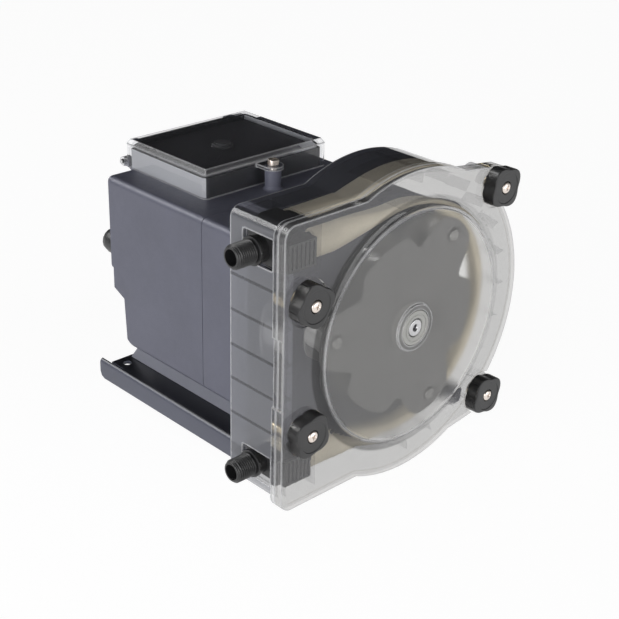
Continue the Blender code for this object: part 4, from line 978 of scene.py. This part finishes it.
# ------------------------------------------------------------------ tube
def tube_sections():
    """Stations from the upper port round to the lower one:
    centre (x, z), unit normal in the x-z plane, half thickness, half width."""
    inlet = []
    for k in range(9):
        x = TUBE_START + (TUBE_STRAIGHT_END - TUBE_START) * k / 8
        inlet.append(((x, PORT_Z), (0.0, 1.0), TUBE_R, TUBE_R))
    half_arc = 98.0
    end_nx, end_nz = math.cos(math.radians(half_arc)), math.sin(math.radians(half_arc))
    end_x, end_z = TUBE_ARC_R * end_nx, TUBE_ARC_R * end_nz
    for k in range(1, 14):                  # bends onto the arc and flattens
        t = k / 14.0
        normal = Vector((end_nx * t, (1 - t) + end_nz * t)).normalized()
        q = t * t * (3 - 2 * t) * 0.5 + t * 0.5
        inlet.append(((TUBE_STRAIGHT_END + (end_x - TUBE_STRAIGHT_END) * t,
                       PORT_Z + (end_z - PORT_Z) * t), (normal.x, normal.y),
                      TUBE_R + (TUBE_FLAT - TUBE_R) * q, TUBE_R + (TUBE_WIDE - TUBE_R) * q))
    squeezed = []
    for k in range(97):
        a = math.radians(half_arc - 2 * half_arc * k / 96)
        squeezed.append(((TUBE_ARC_R * math.cos(a), TUBE_ARC_R * math.sin(a)),
                         (math.cos(a), math.sin(a)), TUBE_FLAT, TUBE_WIDE))
    outlet = [((x, -z), (nx, -nz), thick, wide)
              for (x, z), (nx, nz), thick, wide in reversed(inlet)]
    return inlet + squeezed + outlet


def squeeze_tube():
    segments = 28

    def ring(section, wall):
        (x, z), (nx, nz), thick, wide = section
        thick, wide = thick - wall, wide - wall
        flat = wide - thick                 # half the straight run between the two round ends
        points = []
        for i in range(segments):
            t = math.tau * (i + 0.5) / segments
            c, s = math.cos(t), math.sin(t)
            y = thick * c + (flat if c > 0 else -flat)
            points.append((x + nx * thick * s, PORT_Y + y, AXIS_Z + z + nz * thick * s))
        return points

    sections = tube_sections()
    return lofted([ring(section, 0.0) for section in sections]
                  + [ring(section, TUBE_WALL) for section in reversed(sections)])


piece(squeeze_tube(), "squeeze_tube", 0.0, angle=60)


# ================================================================== motor housing
def housing_front():
    ob = plate("Y", [rounded_rectangle(HOUSE_LEFT, HOUSE_RIGHT, HOUSE_BOTTOM, HOUSE_TOP, 4.0, 10)],
               0.4, SEAM_Y - 0.2)
    hollow = rounded_rectangle(HOUSE_LEFT + HOUSE_WALL, HOUSE_RIGHT - HOUSE_WALL,
                               HOUSE_BOTTOM + HOUSE_WALL, HOUSE_TOP - HOUSE_WALL, 2.0, 4)
    return cut(ob, plate("Y", [hollow], 3.0, SEAM_Y + 5.0),
               rod("Y", (0, AXIS_Z), SHAFT_HOLE_R, -5.0, 10.0))


def housing_rear():
    ob = plate("Y", [rounded_rectangle(HOUSE_LEFT, HOUSE_RIGHT, HOUSE_BOTTOM, HOUSE_TOP, 4.0, 10)],
               SEAM_Y + 0.2, HOUSE_REAR)
    # side outlines, (y, z): the step below the rear face, and the hollow with its rear opening
    step = [(119.0, HOUSE_BOTTOM - 5), (119.0, HOUSE_BOTTOM), (125.0, 30.6), (126.6, 56.7),
            (HOUSE_REAR, 61.0), (HOUSE_REAR + 5, 61.0), (HOUSE_REAR + 5, HOUSE_BOTTOM - 5)]
    hollow = [(SEAM_Y - 5, HOUSE_BOTTOM + HOUSE_WALL), (117.5, HOUSE_BOTTOM + HOUSE_WALL),
              (122.0, 32.0), (123.6, 58.5), (133.4, 63.2), (133.4, 74.0), (HOUSE_REAR + 5, 74.0),
              (HOUSE_REAR + 5, 125.0), (133.4, 125.0), (133.4, HOUSE_TOP - HOUSE_WALL),
              (SEAM_Y - 5, HOUSE_TOP - HOUSE_WALL)]
    ob = cut(ob, plate("X", [step], HOUSE_LEFT - 5, HOUSE_RIGHT + 5),
             plate("X", [hollow], HOUSE_LEFT + HOUSE_WALL, HOUSE_RIGHT - HOUSE_WALL))
    post = turned("Z", (POST_X, POST_Y), [
        (0, HOUSE_TOP - 1.5), (6.0, HOUSE_TOP - 1.5), (6.0, HOUSE_TOP), (5.2, HOUSE_TOP + 0.5),
        (4.7, HOUSE_TOP + 1.4), (4.7, 141.2), (4.3, 141.6), (0, 141.6)], 48)
    return cut(fuse(ob, post), rod("Z", (POST_X, POST_Y), 2.1, 133.0, 145.0),
               rod("Y", (-55.0, 66.6), 2.6, 125.0, 145.0))


piece(housing_front(), "housing_front", 0.5, angle=28)
piece(housing_rear(), "housing_rear", 0.6, 3, angle=28)


# ================================================================== clear lid
def hip_block(half_x, y0, y1, z0, z1, inset):
    """Block whose four sides lean in by the inset towards the top."""
    bm = bmesh.new()
    bmesh.ops.create_cube(bm, size=1.0)
    for vertex in bm.verts:
        at = vertex.co
        lean = inset if at.z > 0 else 0.0
        vertex.co = Vector(((half_x - lean) * (1 if at.x > 0 else -1),
                            (y1 - lean) if at.y > 0 else (y0 + lean),
                            z1 if at.z > 0 else z0)) * MM
    return add_bmesh(bm)


def hinge_ear(side):
    x0, x1 = sorted((side * 40.2, side * 45.4))
    outline = ([(LID_REAR - 1.0, LID_BOTTOM), (HINGE_Y, LID_BOTTOM - 0.9)]
               + arc(HINGE_Y, HINGE_Z, 2.8, -80, 90, 20) + [(LID_REAR - 1.0, HINGE_Z + 2.8)])
    return plate("X", [outline], x0, x1)


def clear_lid():
    walls = plate("Z", [rounded_rectangle(-LID_X, LID_X, LID_FRONT, LID_REAR, 2.5, 8)],
                  LID_BOTTOM, LID_TOP - 2.6)
    screw_tab = (arc(POST_X, POST_Y, 6.0, 180, 360, 28)
                 + [(POST_X + 6.0, LID_FRONT + 1.0), (POST_X - 6.0, LID_FRONT + 1.0)])
    ob = fuse(walls,
              hip_block(LID_X - 0.5, LID_FRONT + 0.5, LID_REAR - 0.5, LID_TOP - 3.0, LID_TOP, 1.7),
              plate("Z", [screw_tab], 142.0, 144.1),
              merged([hinge_ear(side) for side in (1, -1)]))
    return cut(ob,
               box((-LID_X + 2.0, LID_FRONT + 2.0, LID_BOTTOM - 2.0),
                   (LID_X - 2.0, LID_REAR - 2.0, LID_TOP - 5.0)),
               hip_block(LID_X - 2.6, LID_FRONT + 2.6, LID_REAR - 2.6, LID_TOP - 5.4,
                         LID_TOP - 2.0, 1.6),
               rod("X", (HINGE_Y, HINGE_Z), 1.75, -52, 52, 32),
               rod("Z", (POST_X, POST_Y), 1.75, 138, 148, 32))


piece(clear_lid(), "clear_lid", 0.6, 3)


# ------------------------------------------------------------------ lid screw and speed dial
def fluted(ob, x, y, lo, hi, count, offset=0.0):
    """Upright flutes round a turned part; lo and hi are the cutter's corners at angle 0."""
    cutters = [turn_and_move(box(lo, hi), math.tau * (k + offset) / count, "Z", (x, y, 0))
               for k in range(count)]
    return cut(ob, merged(cutters))


def lid_screw():
    x, y = POST_X, POST_Y
    ob = turned("Z", (x, y), [
        (0, 135.0), (1.1, 135.0), (1.4, 135.4), (1.4, 144.4), (3.2, 144.4), (3.2, 146.9),
        (3.05, 147.25), (2.7, 147.5), (0, 147.5)], 48)
    ob = fluted(ob, x, y, (3.05, -0.13, 144.9), (4.0, 0.13, 146.8), 16)
    return cut(ob, box((x - 5, y - 0.45, 146.5), (x + 5, y + 0.45, 150.0)))     # driver slot


def speed_dial():
    x, y = -3.0, 108.5
    ob = turned("Z", (x, y), [
        (0, 131.4), (1.7, 131.4), (1.7, 133.5), (6.6, 133.5), (6.6, 136.6), (6.2, 137.3),
        (5.2, 137.6), (5.0, 137.6), (4.75, 141.0), (4.5, 141.45), (4.0, 141.6), (0, 141.6)], 72)
    ob = fluted(ob, x, y, (4.62, -0.28, 138.2), (6.0, 0.28, 142.5), 18, offset=0.5)
    return cut(ob, box((x - 0.35, y - 4.3, 141.2), (x + 0.35, y - 1.0, 143.0)))  # pointer groove


piece(lid_screw(), "lid_screw", 0.06, 1)
piece(speed_dial(), "speed_dial", 0.12, 1)

# ================================================================== the CAD nodes that stay
ROUNDING = {"mounting_bracket": 0.25, "mounting_foot": 0.7, "control_box": 0.5,
            "control_panel": 0.4, "rear_cover": 0.5}
for node, ob in [(node, ob) for node, ob in NODES.items() if not ob.hide_render]:
    dress(ob, MATERIAL_OF[node])
    if "custom_normal" in ob.data.attributes:
        ob.data.attributes.remove(ob.data.attributes["custom_normal"])
    ob.modifiers.new("Join", "WELD").merge_threshold = 0.000004
    round_edges(ob, ROUNDING.get(node, 0.15))
    ob.modifiers.new("Even", "WEIGHTED_NORMAL").keep_sharp = False

if not WORK.objects:        # in case riding has moved every piece to another collection
    bpy.data.collections.remove(WORK)

# ================================================================== studio
scene = bpy.context.scene
scene.view_settings.view_transform = "Standard"
scene.cycles.transparent_max_bounces = 48
scene.cycles.max_bounces = 24
scene.cycles.transmission_bounces = 20
scene.cycles.glossy_bounces = 8
scene.cycles.diffuse_bounces = 4
scene.cycles.sample_clamp_indirect = 6.0


def floor_material():
    """Pale and partly self-lit from above, transparent from below."""
    n = material_nodes("pale_floor")
    base = n.mix(n.noise(scale=3.0, detail=2), (0.16, 0.16, 0.16), (0.18, 0.18, 0.18))
    diffuse = n.get("BsdfDiffuse", {"Color": base})
    diffuse_ray = n.get("LightPath", out="Is Diffuse Ray")
    # bright to the eye, but it casts little light on the pump
    glow = n.get("Emission", {"Strength": n.span(diffuse_ray, over=(0.0, 1.0), to=(0.93, 0.12))})
    top = n.get("AddShader", {0: diffuse, 1: glow})
    below = n.get("NewGeometry", out="Backfacing")
    return n.finish(n.mix_shader(below, top, n.get("BsdfTransparent")))


def add_floor():
    mesh = bpy.data.meshes.new("floor")
    bm = bmesh.new()
    bmesh.ops.create_grid(bm, x_segments=1, y_segments=1, size=6.0)
    bm.to_mesh(mesh)
    bm.free()
    floor = bpy.data.objects.new("floor", mesh)
    scene.collection.objects.link(floor)
    floor.location = (0, 0, CAD_LO.z - 0.0004)      # just below the lowest CAD point
    mesh.materials.append(floor_material())


def add_world():
    """Soft light level from the left and the front, a weak fill, and a narrow bright lobe
    behind that draws the edges. The backdrop itself is seen as near white."""
    # direction, cosine range from dark to full, strength, the only ray kind lit (None: all)
    lobes = (((-1.0, -0.25, -0.10), (0.42, 0.95), 1.20, None),
             ((0.15, -1.0, -0.10), (0.42, 0.95), 0.95, None),
             ((0.6, 0.8, 0.15), (0.45, 0.95), 0.35, "Is Diffuse Ray"),
             ((-0.45, 0.65, 0.6), (0.92, 0.985), 9.0, "Is Glossy Ray"))
    world = bpy.data.worlds.new("studio")
    scene.world = world
    n = Nodes(world, "OutputWorld", "Generated")
    ray = n.node("LightPath").outputs
    light = 0.018                                   # even light from all round
    for direction, cosines, strength, ray_kind in lobes:
        facing = n.dot(n.position, Vector(direction).normalized())
        lobe = n.times(n.span(facing, over=cosines, interpolation_type="SMOOTHSTEP"), strength)
        if ray_kind:
            lobe = n.times(lobe, ray[ray_kind])
        light = n.plus(light, lobe)
    seen = n.math("MAXIMUM", ray["Is Camera Ray"], ray["Is Transmission Ray"])
    backdrop = n.get("Background", {"Color": (0.99, 0.99, 0.99), "Strength": 1.0})
    n.finish(n.mix_shader(seen, n.get("Background", {"Strength": light}), backdrop))


def softbox(name, offset, size, power):
    """Area light aimed at the middle of the pump. Offset and size in metres, power in watts."""
    middle = (CAD_LO + CAD_HI) / 2
    light = bpy.data.lights.new(name, "AREA")
    light.shape = "RECTANGLE"
    light.size, light.size_y = size
    light.energy = power
    ob = bpy.data.objects.new(name, light)
    ob.location = middle + Vector(offset)
    aim = middle - (middle + Vector(offset))
    ob.rotation_euler = aim.to_track_quat("-Z", "Y").to_euler()
    scene.collection.objects.link(ob)


def add_camera():
    """Three-quarter view of the head and the port side, from the left, the front and above."""
    azimuth, elevation, roll = -0.7661525, 0.4417340, 0.0256170     # radians
    target = Vector((0.0, -43.0525, 82.2205))                       # mm, as the pieces
    distance, slide_right, slide_up = 701.5475, -53.791485, 11.960435
    back = Vector((math.sin(azimuth) * math.cos(elevation),
                   -math.cos(azimuth) * math.cos(elevation), math.sin(elevation)))
    forward = -back
    level_right = forward.cross(Vector((0, 0, 1))).normalized()
    level_up = level_right.cross(forward)
    right = level_right * math.cos(roll) + level_up * math.sin(roll)
    up = level_up * math.cos(roll) - level_right * math.sin(roll)
    place = target + back * distance + right * slide_right + up * slide_up
    camera = bpy.data.cameras.new("camera")
    camera.sensor_width = 36.0
    camera.sensor_fit = "HORIZONTAL"
    camera.lens = 76.710446
    camera.shift_x = 0.00083198708
    camera.shift_y = -0.010799677
    camera.clip_start = 0.01
    camera.clip_end = 50.0
    ob = bpy.data.objects.new("camera", camera)
    scene.collection.objects.link(ob)
    turn = Matrix((right, up, back)).transposed().to_4x4()
    ob.matrix_world = Matrix.Translation(place * MM + SHIFT) @ turn
    scene.camera = ob


add_floor()
add_world()
softbox("key", offset=(-1.0, -0.25, -0.02), size=(0.8, 0.6), power=8.0)
softbox("front", offset=(0.30, -1.1, -0.03), size=(0.9, 0.6), power=5.0)
softbox("rim", offset=(-0.45, 0.75, 0.75), size=(0.35, 0.6), power=0.5)
add_camera()
